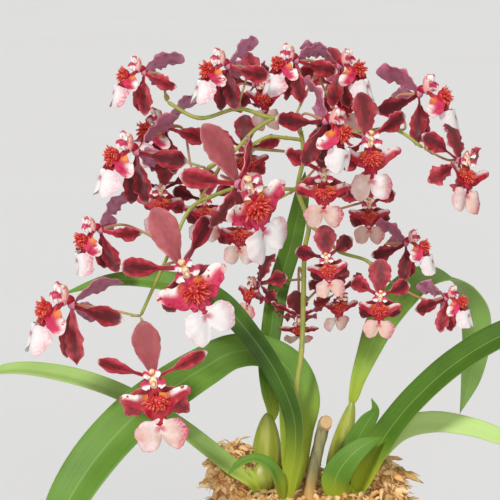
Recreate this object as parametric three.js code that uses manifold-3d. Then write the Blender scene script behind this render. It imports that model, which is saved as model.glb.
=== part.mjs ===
// An oncidium orchid in its pot: leafy growths and pseudobulbs in moss, and one branched flower
// stem with thirty blooms. Millimetres and degrees. +Z is up, +X right, and -Y is the front.
// The origin is the centre of the pot's flat base.
import * as THREE from "three";
import { mergeVertices } from "three/addons/utils/BufferGeometryUtils.js";
import Module from "manifold-3d";

const wasm = await Module();
wasm.setup();

// ---------------------------------------------------------------- driving dimensions

const CLEARANCE = 0.3; // between pieces that touch
const SCRAP_VOLUME = 0.4; // the most that a loose scrap or a sealed hollow of a fused piece may hold
const SLIVER = 0.1; // how far a point may move to do away with the slivers along a join

const POT = {
  baseRadius: 28,
  mouthRadius: 38,
  height: 66,
  wall: 3,
  floor: 4,
  rimHeight: 13,
  rimOut: 2.5,
  drainRadius: 3.5,
  drainRing: 15,
  drains: 4,
  drainSides: 8,
  sides: 24,
};

const MOSS = {
  edgeHeight: 61, // where the moss meets the pot wall
  slopeRadius: 31.5, // of the ring half way up its slope
  slopeHeight: 70,
  shoulderRadius: 27,
  shoulderHeight: 76.5,
  crownHeight: 79,
  roughness: 0.8,
};

// Tufts of moss that stand above the crown: centre, then radius and height.
const MOSS_TUFTS = [
  { at: [-21.5, 7, 80], radius: 6.5, height: 12 },
  { at: [21, 4, 78], radius: 5.5, height: 9 },
  { at: [17, 15, 78], radius: 7, height: 8 },
  { at: [-6, 19, 79], radius: 9, height: 7 },
];

// The buried part of growths and stems. headroom: how far its hole runs on above it.
const FOOT = { top: 81, bottom: 68, taper: 0.85, sides: 12, headroom: 12 };

// Radii of the flower stem's bars. straight: the most that a pedicel runs straight behind its bloom.
const STEM = {
  main: 0.95,
  branch: 0.62,
  pedicel: 0.45,
  collar: 1.15,
  straight: 5,
  sides: 5,
  pedicelSides: 3,
  mainSteps: 20,
  stepsPerPoint: 1.5, // of a side branch
};

// Bloom sizes, for a bloom of scale 1 that faces the front.
const BLOOM = {
  hubRadius: 1.4,
  hubDepth: 1.5, // the hub's centre behind the bloom's own origin
  ribThickness: 0.75, // whatever the scale of the bloom
  dorsal: { length: 17, widths: [2.1, 3.7, 2.7], stations: [0.3, 0.64, 0.86] },
  petal: { length: 17, widths: [0.9, 3, 2.8], stations: [0.4, 0.64, 0.86] },
  lateral: { length: 14.5, widths: [2.8, 2.7], stations: [0.42, 0.78] },
  margin: 0.5, // how far a blade's edges wave
  waves: 1.1, // waves along an edge
  bend: 0.45, // how straight a tepal leaves the hub before it leans back
  petalSweep: 0.8, // share of the bloom's sweep that its petals have
  variation: { angle: 7, lateralAngle: 6, length: 0.06, sweep: 0.22 }, // from one bloom to the next
  isthmus: {
    widths: [3.9, 2.4],
    stations: [0.3, 0.88],
    thickness: 1.3,
    to: [0, -6.6, -15],
  },
  midLobe: {
    width: 4.4,
    height: 4.6,
    thickness: 0.55,
    spread: 3.8,
    at: [-6.3, -14.2],
    lean: 8,
    splay: 14,
    foldBack: 1.5, // how far back a folded lobe's centre stands, over the sine of the fold
    sides: 8,
  },
  callus: { at: [0.2, -4.8, -5.4], radius: 3.2, height: 4.6, tooth: 1.4, teeth: 4 },
  wingReach: 2.3, // of the column's wings, over half of its own width
  bridge: { at: [0, -0.2, 0.2], size: [1.6, 2.6, 1.8] },
};

// How a bloom holds its parts when it faces the front, and when it is turned to one side. petals,
// laterals: how far these tepals stand from its top. lateralLength, lateralSweep: shares of the
// lateral's length and of the bloom's sweep. dorsalTwist, lateralTwist: how far these sepals turn a
// broad face to the front. lip: how far the callus and the mid lobe are moved. neck: where the lip
// starts. fold: how far back the outer edges of the mid lobe are folded. column: its centre, its half
// sizes, and how far its wings drop as a share of the last. sideLobes: the middle of their rib, how far
// its ends are out, up and forward, and how far forward the lower edge stands.
const FRONT = {
  petals: 68,
  laterals: 142,
  lateralLength: 1,
  lateralSweep: 0.6,
  dorsalTwist: 0,
  lateralTwist: 0,
  lip: [0, 0, 0],
  neck: [0, -1.9, -0.4],
  fold: 0,
  column: { at: [0, -2, 0.9], size: [1.5, 1.75, 3.5], drop: 0.5 },
  sideLobes: {
    at: [-3.2, -4],
    reach: 10.2,
    rise: 1,
    forward: 2,
    tilt: 0.35,
    widths: [1.9, 1.9],
    stations: [0.15, 0.85],
  },
};
const SIDE = {
  sweep: 58,
  petals: 100,
  laterals: 160,
  lateralLength: 1.2,
  lateralSweep: 0.1,
  dorsalTwist: 45,
  lateralTwist: 60,
  lip: [0, -2, 3.6],
  neck: [0, -1.2, 1],
  fold: 40,
  column: { at: [0, -1.6, 2.6], size: [1.5, 1.9, 3.4], drop: 0 },
  sideLobes: {
    at: [-4.8, -1.8],
    reach: 9.6,
    rise: -5.6,
    forward: -1.4,
    tilt: 1.8,
    widths: [2.4, 2.2, 2.4],
    stations: [0.2, 0.5, 0.8],
  },
};

// The blooms. at: where the tepals and the lip meet. yaw: how far the bloom faces right. nod: how
// far it faces down. roll: how far its top leans right. sweep: how far the tepals lean back.
// side: the bloom is turned to one side and leans back the most.
// from: the point on the flower stem where its pedicel starts. via: a point that the pedicel goes
// round by. back: a rear bloom of one node.
const BLOOMS = [
  { at: [-47, -5, 199], yaw: -75, nod: -8, scale: 0.7, side: true, from: [-40, -5, 191] },
  { at: [-24, -9, 201], yaw: -65, nod: -8, scale: 0.75, side: true, from: [-20.5, -5, 189] },
  { at: [-15, 18, 194], yaw: 40, scale: 0.68, sweep: 35, from: [-20, -5, 189], back: true },
  { at: [-5, 1, 202], yaw: -60, nod: -8, scale: 0.72, side: true, from: [-5, -2, 185.5] },
  { at: [9, 10, 200], yaw: 60, nod: -8, scale: 0.74, side: true, from: [10, 2, 181] },
  { at: [9, 22, 193], yaw: 30, scale: 0.7, sweep: 30,
    from: [14, 1.5, 182], via: [6, 28, 178], back: true },
  { at: [32, 12, 192], yaw: 75, nod: -8, scale: 0.86, side: true,
    from: [23, -2, 183], via: [27, 12, 183] },
  { at: [41, -10, 175], yaw: 40, roll: 15, scale: 0.75, sweep: 30, from: [31, -4, 178] },
  { at: [-42, 9, 183], yaw: -50, nod: -8, scale: 0.82, side: true,
    from: [-22, -9, 177], via: [-33, 11, 170] },
  { at: [-49, -14, 178], yaw: -65, nod: -8, scale: 0.87, side: true, from: [-29, -9, 173] },
  { at: [-42, 11.5, 164.5], yaw: -10, nod: 10, scale: 0.65, sweep: 25,
    from: [-29, -9, 173], via: [-32, 19, 166] },
  { at: [-18, 13, 176], yaw: 0, scale: 0.62, sweep: 20,
    from: [-18, -5, 178.5], via: [-6, 17, 175], back: true },
  { at: [-19, -35, 171], yaw: 45, nod: 15, roll: -25, scale: 1.03, sweep: 35,
    from: [-20, -12, 168] },
  { at: [4, -26, 187], yaw: 55, nod: 15, scale: 0.79, side: true, from: [-3, -1, 182] },
  { at: [15, -12, 181], yaw: 20, nod: 10, scale: 0.83, sweep: 25, from: [14, 1.5, 182] },
  { at: [3, -16, 172], yaw: 0, nod: 20, scale: 0.72, sweep: 20, from: [-4, 0, 166] },
  { at: [17, 15, 160], yaw: 0, scale: 0.58, sweep: 30, from: [-1, 1, 158], back: true },
  { at: [-30, 15, 161], yaw: 0, scale: 0.6, sweep: 25,
    from: [-31, -17, 165], via: [-25, 20, 171.5], back: true },
  { at: [-20, 12, 155], yaw: 0, scale: 0.6, sweep: 25, from: [-4, 0, 166], back: true },
  { at: [-59, -12, 156], yaw: -65, nod: 10, scale: 0.74, side: true, from: [-38, -20.5, 153] },
  { at: [-35, -30, 148], yaw: 20, nod: 10, roll: -25, scale: 1.01, sweep: 25,
    from: [-41, -21, 148] },
  { at: [-67, -15, 136], yaw: -70, nod: -8, scale: 0.96, side: true, from: [-47, -17, 133] },
  { at: [-43, -25, 117], yaw: 0, nod: 5, roll: -9, scale: 0.96, sweep: 15, from: [-47, -17, 133] },
  { at: [-15, 16, 137], yaw: -60, scale: 0.56, sweep: 40, from: [-2, 0, 141], back: true },
  { at: [4, -10, 148], yaw: 0, nod: 5, roll: -8, scale: 0.54, sweep: 20, from: [1.5, 2, 154] },
  { at: [8, 3, 136], yaw: 30, nod: 30, scale: 0.54, sweep: 25, from: [-2, 0, 134] },
  { at: [-3, 10, 128], yaw: 0, nod: 60, scale: 0.55, sweep: 25,
    from: [-2, 0, 141], via: [-3, 12, 142], back: true },
  { at: [19, -8, 137], yaw: 0, nod: 5, roll: 3, scale: 0.58, sweep: 20, from: [18, -3, 143] },
  { at: [28, 7, 150], yaw: 70, nod: -8, scale: 0.64, side: true,
    from: [16, -2, 146], via: [22, 6, 141.5] },
  { at: [39, 2, 135], yaw: 60, nod: -8, scale: 0.58, side: true, from: [18, -3, 143] },
];

const BUD = { at: [33, -5, 180], from: [31, -4, 178], length: 3.6, radius: 1.3 };

// Routes of the flower stem and its side branches.
const MAIN_AXIS = [
  [-7, -2, FOOT.bottom],
  [-6.6, -2.4, 84],
  [-5, -4, 98],
  [-4, -5, 110],
  [-2.6, -4, 121],
  [-2, 0, 135],
  [-1.6, 2, 149],
  [-0.5, 2, 156],
  [-3.6, 0.4, 166],
  [-2.4, 0, 174],
  [-3, -1, 182],
  [-7, -2.4, 186],
  [-12, -4, 186.6],
  [-20, -5, 189],
  [-31, -6, 186.5],
  [-40, -5, 191],
];
const BRANCHES = [
  [[-3.6, 0.4, 166], [-11, -6, 167], [-20, -12, 168], [-27, -15, 166], [-33, -18, 163],
    [-38, -20.5, 153], [-43, -20, 142], [-47, -17, 133]],
  [[-10, -3.4, 186.6], [-16, -6, 183], [-22, -9, 177], [-29, -9, 173]],
  [[-2.6, -0.6, 180], [-7, -1.5, 180.6], [-12, -3, 181], [-18, -5, 178]],
  [[-2.4, 0, 174], [-1, 2, 178], [5, 3, 180.5], [14, 1.5, 182], [23, -2, 183], [31, -4, 178]],
  [[-0.5, 2, 156], [4, 1, 152.5], [8, 0, 148.6], [16, -2, 146], [18, -3, 143]],
];

// Leaves. route: along the rib from base to tip. widths: half widths between the two. faces: the way
// the upper face looks at the base, the middle and the tip. fold: how far the edges rise over the
// rib, as a share of the half width.
const LEAVES = {
  tallBack: {
    route: [[-12, 7, 96], [-10.5, 7.5, 101], [-11.5, 9.5, 107], [-12, 12.5, 114.2],
      [-11, 16.5, 123.4], [-9, 20.5, 134.7], [-5, 22.5, 147.8], [-2, 24, 161.7],
      [-1, 25, 168.7]],
    widths: [1.7, 2.4, 2.8, 3, 3.1, 3, 2.2],
    faces: [[0, -1, 0.1], [0.2, -1, 0.1], [0, -1, 0.2]],
    fold: 0.3,
  },
  longLeft: {
    route: [[-13.6, -0.6, 75], [-16, -2, 82.4], [-21.6, -1, 86], [-29, 3, 91], [-36, 7, 95.5],
      [-46, 11, 101], [-58, 13, 106.5], [-72, 14, 110.5], [-86, 14, 112], [-102, 14, 108.5]],
    widths: [2.4, 2.8, 3, 3.1, 3.2, 3.2, 3, 2.2],
    faces: [[0.5, -1, 0.9], [0.3, -0.8, 1], [0, -0.6, 1]],
    fold: 0.45,
  },
  darkArch: {
    route: [[-7, -6.4, 75], [-5.8, -8.6, 84], [-4.2, -10, 93], [-4.4, -11, 103],
      [-8.4, -11.4, 114], [-15.5, -10.5, 125], [-25, -8.5, 135], [-34, -6, 139],
      [-45, -3, 140.6], [-57, -1, 140], [-71, 0, 136]],
    widths: [2.8, 3, 3, 2.9, 3, 3.4, 3.6, 3.2, 2.4],
    faces: [[-0.6, -1, 0.2], [-0.7, -0.8, 0.9], [0, -0.7, 1]],
    fold: 0.4,
  },
  broadArch: {
    route: [[-5.4, -0.8, 75], [-4.4, 0.8, 87], [-3.8, 2, 97], [-3.2, 3, 106], [-6, 5.4, 113.6],
      [-13, 7.4, 118.4], [-22, 7.4, 118.2], [-30, 5.6, 114.2], [-39, 1.6, 109],
      [-50, -4, 101.5], [-61, -10, 90], [-69, -15, 77], [-75, -18, 58]],
    widths: [3.6, 4.8, 6, 5.6, 4.8, 5.4, 6.2, 7, 7.3, 7.2, 6],
    faces: [[0.1, -1, 0.1], [0, -1, 0.7], [-0.5, -0.9, 0.5]],
    fold: 0.25,
  },
  curledSheath: {
    route: [[-7.6, -6.4, 76], [-9, -11.2, 85.6], [-11.5, -13.6, 90.5], [-15.5, -14, 92.6],
      [-20, -14, 91], [-23.4, -14, 87.6]],
    widths: [2, 1.8, 1.5, 1.2],
    faces: [[0.3, -1, 0.6], [0, -0.8, 1], [-0.5, -0.6, 0.8]],
    fold: 0.3,
  },
  rightArch: {
    route: [[11.4, 9, 101], [12.6, 9.4, 105], [14, 11, 110], [17, 14, 117], [21, 17.5, 125],
      [27, 22.5, 132], [33, 28, 136], [40, 34, 136.4], [46, 39, 132.6], [50, 42, 125],
      [51, 43, 115], [49.6, 43, 104], [46.4, 42, 93]],
    widths: [1.6, 2.2, 3.2, 4.6, 5.8, 6.2, 6.2, 5.8, 5.2, 4.6, 3.2],
    faces: [[0.5, -1, 0], [-0.4, -0.7, 1], [0.5, 1, 0.1]],
    fold: 0.2,
  },
  rightLong: {
    route: [[11.6, -3.2, 75], [15.5, -4, 86], [19.5, -5, 94], [24, -6, 101], [30, -7, 108.4],
      [40, -9, 118], [52.5, -12, 126.5], [66, -14.5, 132], [77, -16, 134]],
    widths: [4, 4.2, 4.2, 4.4, 4.6, 4.4, 3.2],
    faces: [[-0.6, -1, 0.5], [-0.6, -1, 0.8], [-0.3, -0.8, 1]],
    fold: 0.35,
  },
  rightPale: {
    route: [[11.6, 0.6, 75], [18.5, 3, 89], [26, 3.4, 96.8], [34.5, 2.6, 99.2], [44, 0.6, 98.6],
      [55, -2, 95.4], [69, -5, 88]],
    widths: [3, 3.2, 3.1, 2.8, 2.3],
    faces: [[-0.5, -1, 0.3], [0, -1, 0.4], [0.2, -1, 0.5]],
    fold: 0.2,
  },
  hookedSheath: {
    route: [[9, 0.6, 75], [10.4, 2, 86], [13.2, 2.4, 93], [16.4, 2.6, 99], [18.6, 2.6, 102.6],
      [17.4, 2.4, 106.4]],
    widths: [3.2, 3.4, 2.6, 1.3],
    faces: [[-0.3, -1, 0.2], [-0.3, -1, 0.2], [-0.3, -1, 0.4]],
    fold: 0.3,
  },
  frontSheath: {
    route: [[8.4, -6, 75], [7, -9.8, 85.4], [10.6, -10.4, 91.6], [15.2, -9.8, 95.4],
      [20, -8.6, 97.4]],
    widths: [4, 3.6, 2.4],
    faces: [[-0.2, -1, 0.3], [-0.3, -1, 0.5], [-0.3, -1, 0.7]],
    fold: 0.25,
  },
};
const LEAF_RIB = 1.1; // thickness of a leaf at its rib

// Pseudobulbs: foot and apex on the axis, half width and half thickness of the flattened body.
const BULBS = {
  leftBulb: { foot: [-12.5, 7, 80.5], apex: [-12, 7, 101], width: 4.1, depth: 2.8 },
  smallBulb: { foot: [-13.6, 0.6, 79.4], apex: [-13.6, 1, 88], width: 3.5, depth: 2.6 },
  rightBulb: { foot: [6.4, 9, 80], apex: [12.4, 9, 104], width: 3, depth: 2.5 },
};

const BULB_TAPER = 0.28; // how much narrower a pseudobulb is towards its apex

// The oval foot of each growth, which stands in the moss.
const FEET = {
  left: { at: [-14, 3], radii: [3.2, 7.4] },
  centre: { at: [-6.6, -3.2], radii: [3.6, 6.4] },
  right: { at: [6.4, 9], radii: [3.2, 3.2] },
  fan: { at: [10.2, -2.6], radii: [6, 6.6] },
};

const CANE = {
  foot: [-1, -7.4, FOOT.bottom],
  middle: [0.2, -7, 84],
  top: [4.4, -4.6, 103],
  radius: 1.8,
  sides: 8,
  cutHeight: 101.2, // of the middle of the slanting cut end
  cutFaces: [0, -0.74, 0.67],
};

const COLOURS = {
  clay: "#b5694a",
  moss: "#a87f52",
  cane: "#857460",
  stem: "#a9b84a",
  leaf: "#6fa046",
  tepal: "#8f2338",
  lip: "#f0d3cc",
};

// ---------------------------------------------------------------- solids

const radians = THREE.MathUtils.degToRad;
const vector = (point) => new THREE.Vector3(...point);

/** A closed geometry as a solid. */
function solidOf(geometry) {
  const bare = geometry.clone();
  bare.deleteAttribute("normal");
  bare.deleteAttribute("uv");
  const merged = mergeVertices(bare, 1e-4);
  const mesh = new wasm.Mesh({
    numProp: 3,
    vertProperties: new Float32Array(merged.attributes.position.array),
    triVerts: new Uint32Array(merged.index.array),
  });
  return new wasm.Manifold(mesh);
}

/** A solid as a geometry. */
function geometryOf(solid) {
  const mesh = solid.getMesh();
  const geometry = new THREE.BufferGeometry();
  geometry.setAttribute("position", new THREE.BufferAttribute(mesh.vertProperties, 3));
  geometry.setIndex(new THREE.BufferAttribute(mesh.triVerts, 1));
  geometry.computeVertexNormals();
  return geometry;
}

/** The largest body of a solid. What it leaves out are sealed hollows and scraps, never a whole part. */
function largestBody(solid) {
  const bodies = solid.decompose();
  const largest = bodies.reduce((body, next) => (next.volume() > body.volume() ? next : body));
  const lost = bodies.filter((body) => body !== largest && Math.abs(body.volume()) > SCRAP_VOLUME);
  if (lost.length > 0) throw new Error(`${lost.length} parts don't meet the rest`);
  return largest;
}

/** Several geometries joined to one body. */
function fused(geometries) {
  const joined = geometries.map(solidOf).reduce((body, next) => body.add(next));
  return largestBody(joined).simplify(SLIVER);
}

/** A number from -1 to 1 that varies one trait of one bloom. */
const vary = (bloom, trait) => Math.sin(1.7 * bloom + 2.3 * trait);

/** A value on evenly spaced values, at t from 0 to 1. */
function along(values, t) {
  const place = Math.min(Math.max(t, 0), 1) * (values.length - 1);
  const lower = Math.min(Math.floor(place), values.length - 2);
  return THREE.MathUtils.lerp(values[lower], values[lower + 1], place - lower);
}

/** A direction on evenly spaced directions, at t from 0 to 1. */
const directionAlong = (directions, t) =>
  new THREE.Vector3(...[0, 1, 2].map((axis) => along(directions.map((d) => d[axis]), t))).normalize();

/**
 * A blade: a four-sided sphere whose poles are the base and the tip, and whose meridians are the two
 * edges, the rib above and the keel below. ribAt(t) and sideAt(t) give the rib's point and the way to
 * the right edge, widths the half widths at the stations, and liftAt(t) how far the left and the right
 * edge stand over the rib.
 */
function bladeGeometry({ stations, ribAt, sideAt, widths, liftAt, half }) {
  const rows = stations.length + 1;
  const across = 5; // points in a row of the lattice, the last one on the first
  const lattice = new THREE.SphereGeometry(1, across - 1, rows);
  lattice.setIndex(bladeFaces(rows, across));
  const marks = [0, ...stations, 1];
  marks.forEach((t, row) => {
    const rib = ribAt(t);
    const ahead = ribAt(Math.min(t + 0.02, 1)).sub(ribAt(Math.max(t - 0.02, 0)));
    const face = new THREE.Vector3().crossVectors(sideAt(t), ahead).normalize();
    const side = new THREE.Vector3().crossVectors(ahead, face).normalize();
    const width = row === 0 || row === rows ? 0 : widths[row - 1];
    const [liftLeft, liftRight] = width === 0 ? [0, 0] : liftAt(t, width);
    const thick = width === 0 ? 0 : half;
    const corners = [
      [width, liftRight],
      [0, thick],
      [-width, liftLeft],
      [0, -thick],
    ];
    for (let corner = 0; corner < across; corner += 1) {
      const [sideways, up] = corners[corner % corners.length];
      const place = rib.clone().addScaledVector(side, sideways).addScaledVector(face, up);
      lattice.attributes.position.setXYZ(row * across + corner, ...place.toArray());
    }
  });
  return lattice;
}

/** The faces of a blade's lattice, with both of its faces split along the same diagonals. */
function bladeFaces(rows, across) {
  const index = [];
  for (let row = 0; row < rows; row += 1) {
    for (let corner = 0; corner < across - 1; corner += 1) {
      const b = row * across + corner;
      const a = b + 1;
      const c = b + across;
      const d = c + 1;
      const below = corner >= 2;
      if (row === 0) index.push(...(below ? [a, c, d] : [b, c, d]));
      else if (row === rows - 1) index.push(...(below ? [a, b, c] : [a, b, d]));
      else index.push(...(below ? [a, b, c, a, c, d] : [a, b, d, b, c, d]));
    }
  }
  return index;
}

const smoothRoute = (route) => new THREE.CatmullRomCurve3(route.map(vector), false, "centripetal");

/** A round bar along a smooth route. */
function bar(route, radius, sides, steps) {
  const circle = new THREE.Shape();
  for (let corner = 0; corner < sides; corner += 1) {
    const turn = (2 * Math.PI * corner) / sides;
    const x = radius * Math.cos(turn);
    const y = radius * Math.sin(turn);
    if (corner === 0) circle.moveTo(x, y);
    else circle.lineTo(x, y);
  }
  circle.closePath();
  const extrudePath = smoothRoute(route);
  return new THREE.ExtrudeGeometry(circle, { extrudePath, steps, bevelEnabled: false, curveSegments: 1 });
}

/** A faceted ball, stretched along its axes, then moved. */
function ball(centre, size, detail = 0) {
  return new THREE.IcosahedronGeometry(1, detail).scale(...size).translate(...centre);
}

/** An eight-faced body, stretched along its axes, then moved. */
const diamond = ({ at, size }) => new THREE.OctahedronGeometry(1, 0).scale(...size).translate(...at);

// ---------------------------------------------------------------- blooms

/** Half the thickness of a bloom's blades before the bloom is scaled. */
const ribHalf = (bloom) => BLOOM.ribThickness / 2 / bloom.scale;

/** One tepal: it leaves the hub at its angle from the top, leans back by the sweep and is twisted. */
function tepal(kind, angle, lengthShare, sweep, wave, half, twist = 0) {
  const turn = radians(angle);
  const lean = radians(sweep);
  const outward = new THREE.Vector3(Math.sin(turn), 0, Math.cos(turn));
  const length = kind.length * lengthShare;
  const { hubDepth, bend, margin, waves } = BLOOM;
  const ribAt = (t) => {
    const back = hubDepth + length * Math.sin(lean) * t * (bend + (1 - bend) * t);
    const out = length * t * Math.cos((lean * (1 + t)) / 2);
    return new THREE.Vector3(0, back, 0).addScaledVector(outward, out);
  };
  const liftAt = (t) => {
    const lift = margin * wave * Math.sin(2 * Math.PI * waves * t);
    return [lift, -lift];
  };
  const ahead = ribAt(1).sub(ribAt(0)).normalize();
  const level = new THREE.Vector3(Math.cos(turn), 0, -Math.sin(turn));
  const sideAt = () => level.clone().applyAxisAngle(ahead, radians(twist));
  return bladeGeometry({ ...kind, ribAt, sideAt, liftAt, half });
}

/** The five tepals and the hub that carries them, for bloom number n. */
function tepalSolids(bloom, n) {
  const { dorsal, petal, lateral, hubRadius, hubDepth, variation, petalSweep } = BLOOM;
  const { petals, laterals, lateralLength, lateralSweep, dorsalTwist, lateralTwist } =
    bloom.side ? SIDE : FRONT;
  const half = ribHalf(bloom);
  const hand = Math.sign(bloom.yaw);
  const turned = (angle, trait) => angle + variation.angle * vary(n, trait);
  const splayed = (angle, trait) => angle + variation.lateralAngle * vary(n, trait);
  const share = (trait) => 1 + variation.length * vary(n, trait);
  const lean = bloom.side ? SIDE.sweep : bloom.sweep;
  const sweep = (trait) => lean * (1 + variation.sweep * vary(n, trait));
  const hanging = (angle, trait) => {
    const leaning = lateralSweep * sweep(trait + 1);
    const wave = vary(n, trait + 2);
    return tepal(lateral, splayed(angle, trait), lateralLength, leaning, wave, half, hand * lateralTwist);
  };
  return [
    tepal(dorsal, turned(0, 1), share(2), sweep(3), vary(n, 4), half, hand * dorsalTwist),
    tepal(petal, turned(-petals, 5), share(6), petalSweep * sweep(7), 1, half),
    tepal(petal, turned(petals, 8), share(9), petalSweep * sweep(10), -1, half),
    hanging(-laterals, 11),
    hanging(laterals, 14),
    new THREE.OctahedronGeometry(hubRadius, 0).translate(0, hubDepth, 0),
  ];
}

/** The two side lobes of the lip, as one blade across its neck. */
function sideLobes({ at, reach, rise, forward, tilt, widths, stations }, half) {
  const ribAt = (t) => {
    const out = 2 * t - 1;
    const ahead = at[0] - forward * Math.abs(out);
    return new THREE.Vector3(reach * out, ahead, at[1] + rise * Math.abs(out));
  };
  const sideAt = () => new THREE.Vector3(0, -tilt, -1);
  const liftAt = (t, width) => [0.25 * width, 0.25 * width];
  return bladeGeometry({ stations, widths, ribAt, sideAt, liftAt, half });
}

/** The red neck of the lip, from under the column to the mid lobe. */
function isthmus({ neck, lip }) {
  const { to, thickness } = BLOOM.isthmus;
  const ribAt = (t) => vector(neck).lerp(vector(to).add(vector(lip)), t);
  const sideAt = () => new THREE.Vector3(-1, 0, 0);
  const liftAt = (t, width) => [0.1 * width, 0.1 * width];
  return bladeGeometry({ ...BLOOM.isthmus, ribAt, sideAt, liftAt, half: thickness / 2 });
}

/** The column: a six-sided upright body whose lower ring is pulled out to a wing on each side. */
function wingedColumn({ at, size, drop }) {
  const column = new THREE.SphereGeometry(1, 6, 3);
  const position = column.attributes.position;
  for (let i = 0; i < position.count; i += 1) {
    const sideways = position.getX(i);
    const height = position.getY(i);
    if (height > -0.6 && height < 0 && Math.abs(sideways) > 0.6) {
      position.setXYZ(i, BLOOM.wingReach * sideways, height - drop, position.getZ(i));
    }
  }
  return column.rotateX(Math.PI / 2).scale(...size).translate(...at);
}

/** The callus: a blunt crest that points forward, with every other point of its rim out as a tooth. */
function toothedCallus({ lip }) {
  const { at, radius, height, tooth, teeth } = BLOOM.callus;
  const crest = new THREE.ConeGeometry(radius, height, 2 * teeth);
  const position = crest.attributes.position;
  for (let i = 0; i < position.count; i += 1) {
    const turn = Math.round((Math.atan2(position.getZ(i), position.getX(i)) * teeth) / Math.PI);
    const pull = turn % 2 === 0 ? tooth : 1;
    position.setXYZ(i, position.getX(i) * pull, position.getY(i), position.getZ(i) * pull);
  }
  return crest.rotateX(Math.PI / 2).rotateX(Math.PI).translate(...vector(at).add(vector(lip)));
}

/** One half of the lip's mid lobe, on the right or, where side is -1, on the left. */
function halfMidLobe(side, { fold, lip }, scale) {
  const { sides, width, thickness, height, splay, lean, spread, foldBack, at } = BLOOM.midLobe;
  const turn = radians(fold);
  const lobe = new THREE.SphereGeometry(1, sides, 2).rotateX(Math.PI / 2);
  lobe.scale(width, thickness / scale, height).rotateY(radians(side * splay));
  lobe.rotateZ(side * turn).rotateX(radians(-lean));
  const back = foldBack * Math.sin(turn);
  return lobe.translate(side * spread, at[0] + back, at[1]).translate(...lip);
}

/** The lip with its callus, and the column above it. */
function lipSolids(bloom) {
  const pose = bloom.side ? SIDE : FRONT;
  return [
    isthmus(pose),
    toothedCallus(pose),
    halfMidLobe(-1, pose, bloom.scale),
    halfMidLobe(1, pose, bloom.scale),
    wingedColumn(pose.column),
    sideLobes(pose.sideLobes, ribHalf(bloom)),
  ];
}

/** A named mesh of a solid or a geometry. */
function part(name, shape, colour, roughness = 0.6) {
  const material = new THREE.MeshStandardMaterial({ color: colour, roughness, metalness: 0 });
  const mesh = new THREE.Mesh(shape.isBufferGeometry ? shape : geometryOf(shape), material);
  mesh.name = name;
  return mesh;
}

/** The turn of a bloom to the way that it faces. */
const facing = ({ yaw, nod = 0, roll = 0 }) =>
  new THREE.Euler(radians(nod), radians(roll), radians(yaw), "ZXY");

/** One bloom in its own group, turned to the way that it faces. */
function bloomGroup(bloom, n) {
  const group = new THREE.Group();
  group.position.set(...bloom.at);
  group.rotation.copy(facing(bloom));
  group.scale.setScalar(bloom.scale);
  const name = `bloom_${String(n).padStart(2, "0")}`;
  if (bloom.back) {
    const solids = [...tepalSolids(bloom, n), ...lipSolids(bloom), diamond(BLOOM.bridge)];
    group.add(part(name, fused(solids), COLOURS.tepal));
  } else {
    group.add(part(`${name}_tepals`, fused(tepalSolids(bloom, n)), COLOURS.tepal));
    group.add(part(`${name}_lip`, fused(lipSolids(bloom)), COLOURS.lip, 0.5));
  }
  return group;
}

// ---------------------------------------------------------------- flower stem

/** The point of the stem's axis and branches that lies nearest to a point. */
function nearestOnStem(point) {
  const pointsOf = (route) => smoothRoute(route).getPoints(12 * route.length);
  const nearer = (a, b) => (b.distanceTo(point) < a.distanceTo(point) ? b : a);
  return [MAIN_AXIS, ...BRANCHES].flatMap(pointsOf).reduce(nearer);
}

/** The bar of a bloom's pedicel: it leaves the stem and meets the bloom from straight behind. */
function pedicel(bloom) {
  const behind = new THREE.Vector3(0, 1, 0).applyEuler(facing(bloom));
  const gap = (BLOOM.hubDepth + BLOOM.hubRadius) * bloom.scale + CLEARANCE;
  const end = vector(bloom.at).addScaledVector(behind, gap);
  const start = nearestOnStem(vector(bloom.from));
  const reach = start.distanceTo(end);
  const before = end.clone().addScaledVector(behind, Math.min(reach / 3, STEM.straight));
  const round = bloom.via ? [bloom.via] : [];
  const route = [start.toArray(), ...round, before.toArray(), end.toArray()];
  return bar(route, STEM.pedicel, STEM.pedicelSides, route.length);
}

function flowerStem() {
  const solids = [bar(MAIN_AXIS, STEM.main, STEM.sides, STEM.mainSteps)];
  for (const route of BRANCHES) {
    const steps = Math.round(STEM.stepsPerPoint * route.length);
    solids.push(bar(route, STEM.branch, STEM.sides, steps));
  }
  for (const bloom of BLOOMS) solids.push(pedicel(bloom));
  const collars = [MAIN_AXIS.at(-1), ...BRANCHES.flatMap((route) => [route[0], route.at(-1)])];
  for (const at of collars) solids.push(diamond({ at, size: Array(3).fill(STEM.collar) }));
  solids.push(bar([BUD.from, BUD.at], STEM.pedicel, STEM.pedicelSides, 1));
  solids.push(ball(BUD.at, [BUD.radius, BUD.radius, BUD.length / 2]));
  return part("flower_stem", fused(solids), COLOURS.stem);
}

// ---------------------------------------------------------------- leafy growths

/** One leaf: a folded blade along its route. */
function leaf({ route, widths, faces, fold }) {
  const curve = smoothRoute(route);
  const stations = route.slice(1, -1).map((_, i) => (i + 1) / (route.length - 1));
  const ribAt = (t) => curve.getPoint(t);
  const sideAt = (t) => new THREE.Vector3().crossVectors(curve.getTangent(t), directionAlong(faces, t));
  const liftAt = (t, width) => [fold * width, fold * width];
  return bladeGeometry({ stations, ribAt, sideAt, widths, liftAt, half: LEAF_RIB / 2 });
}

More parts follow.
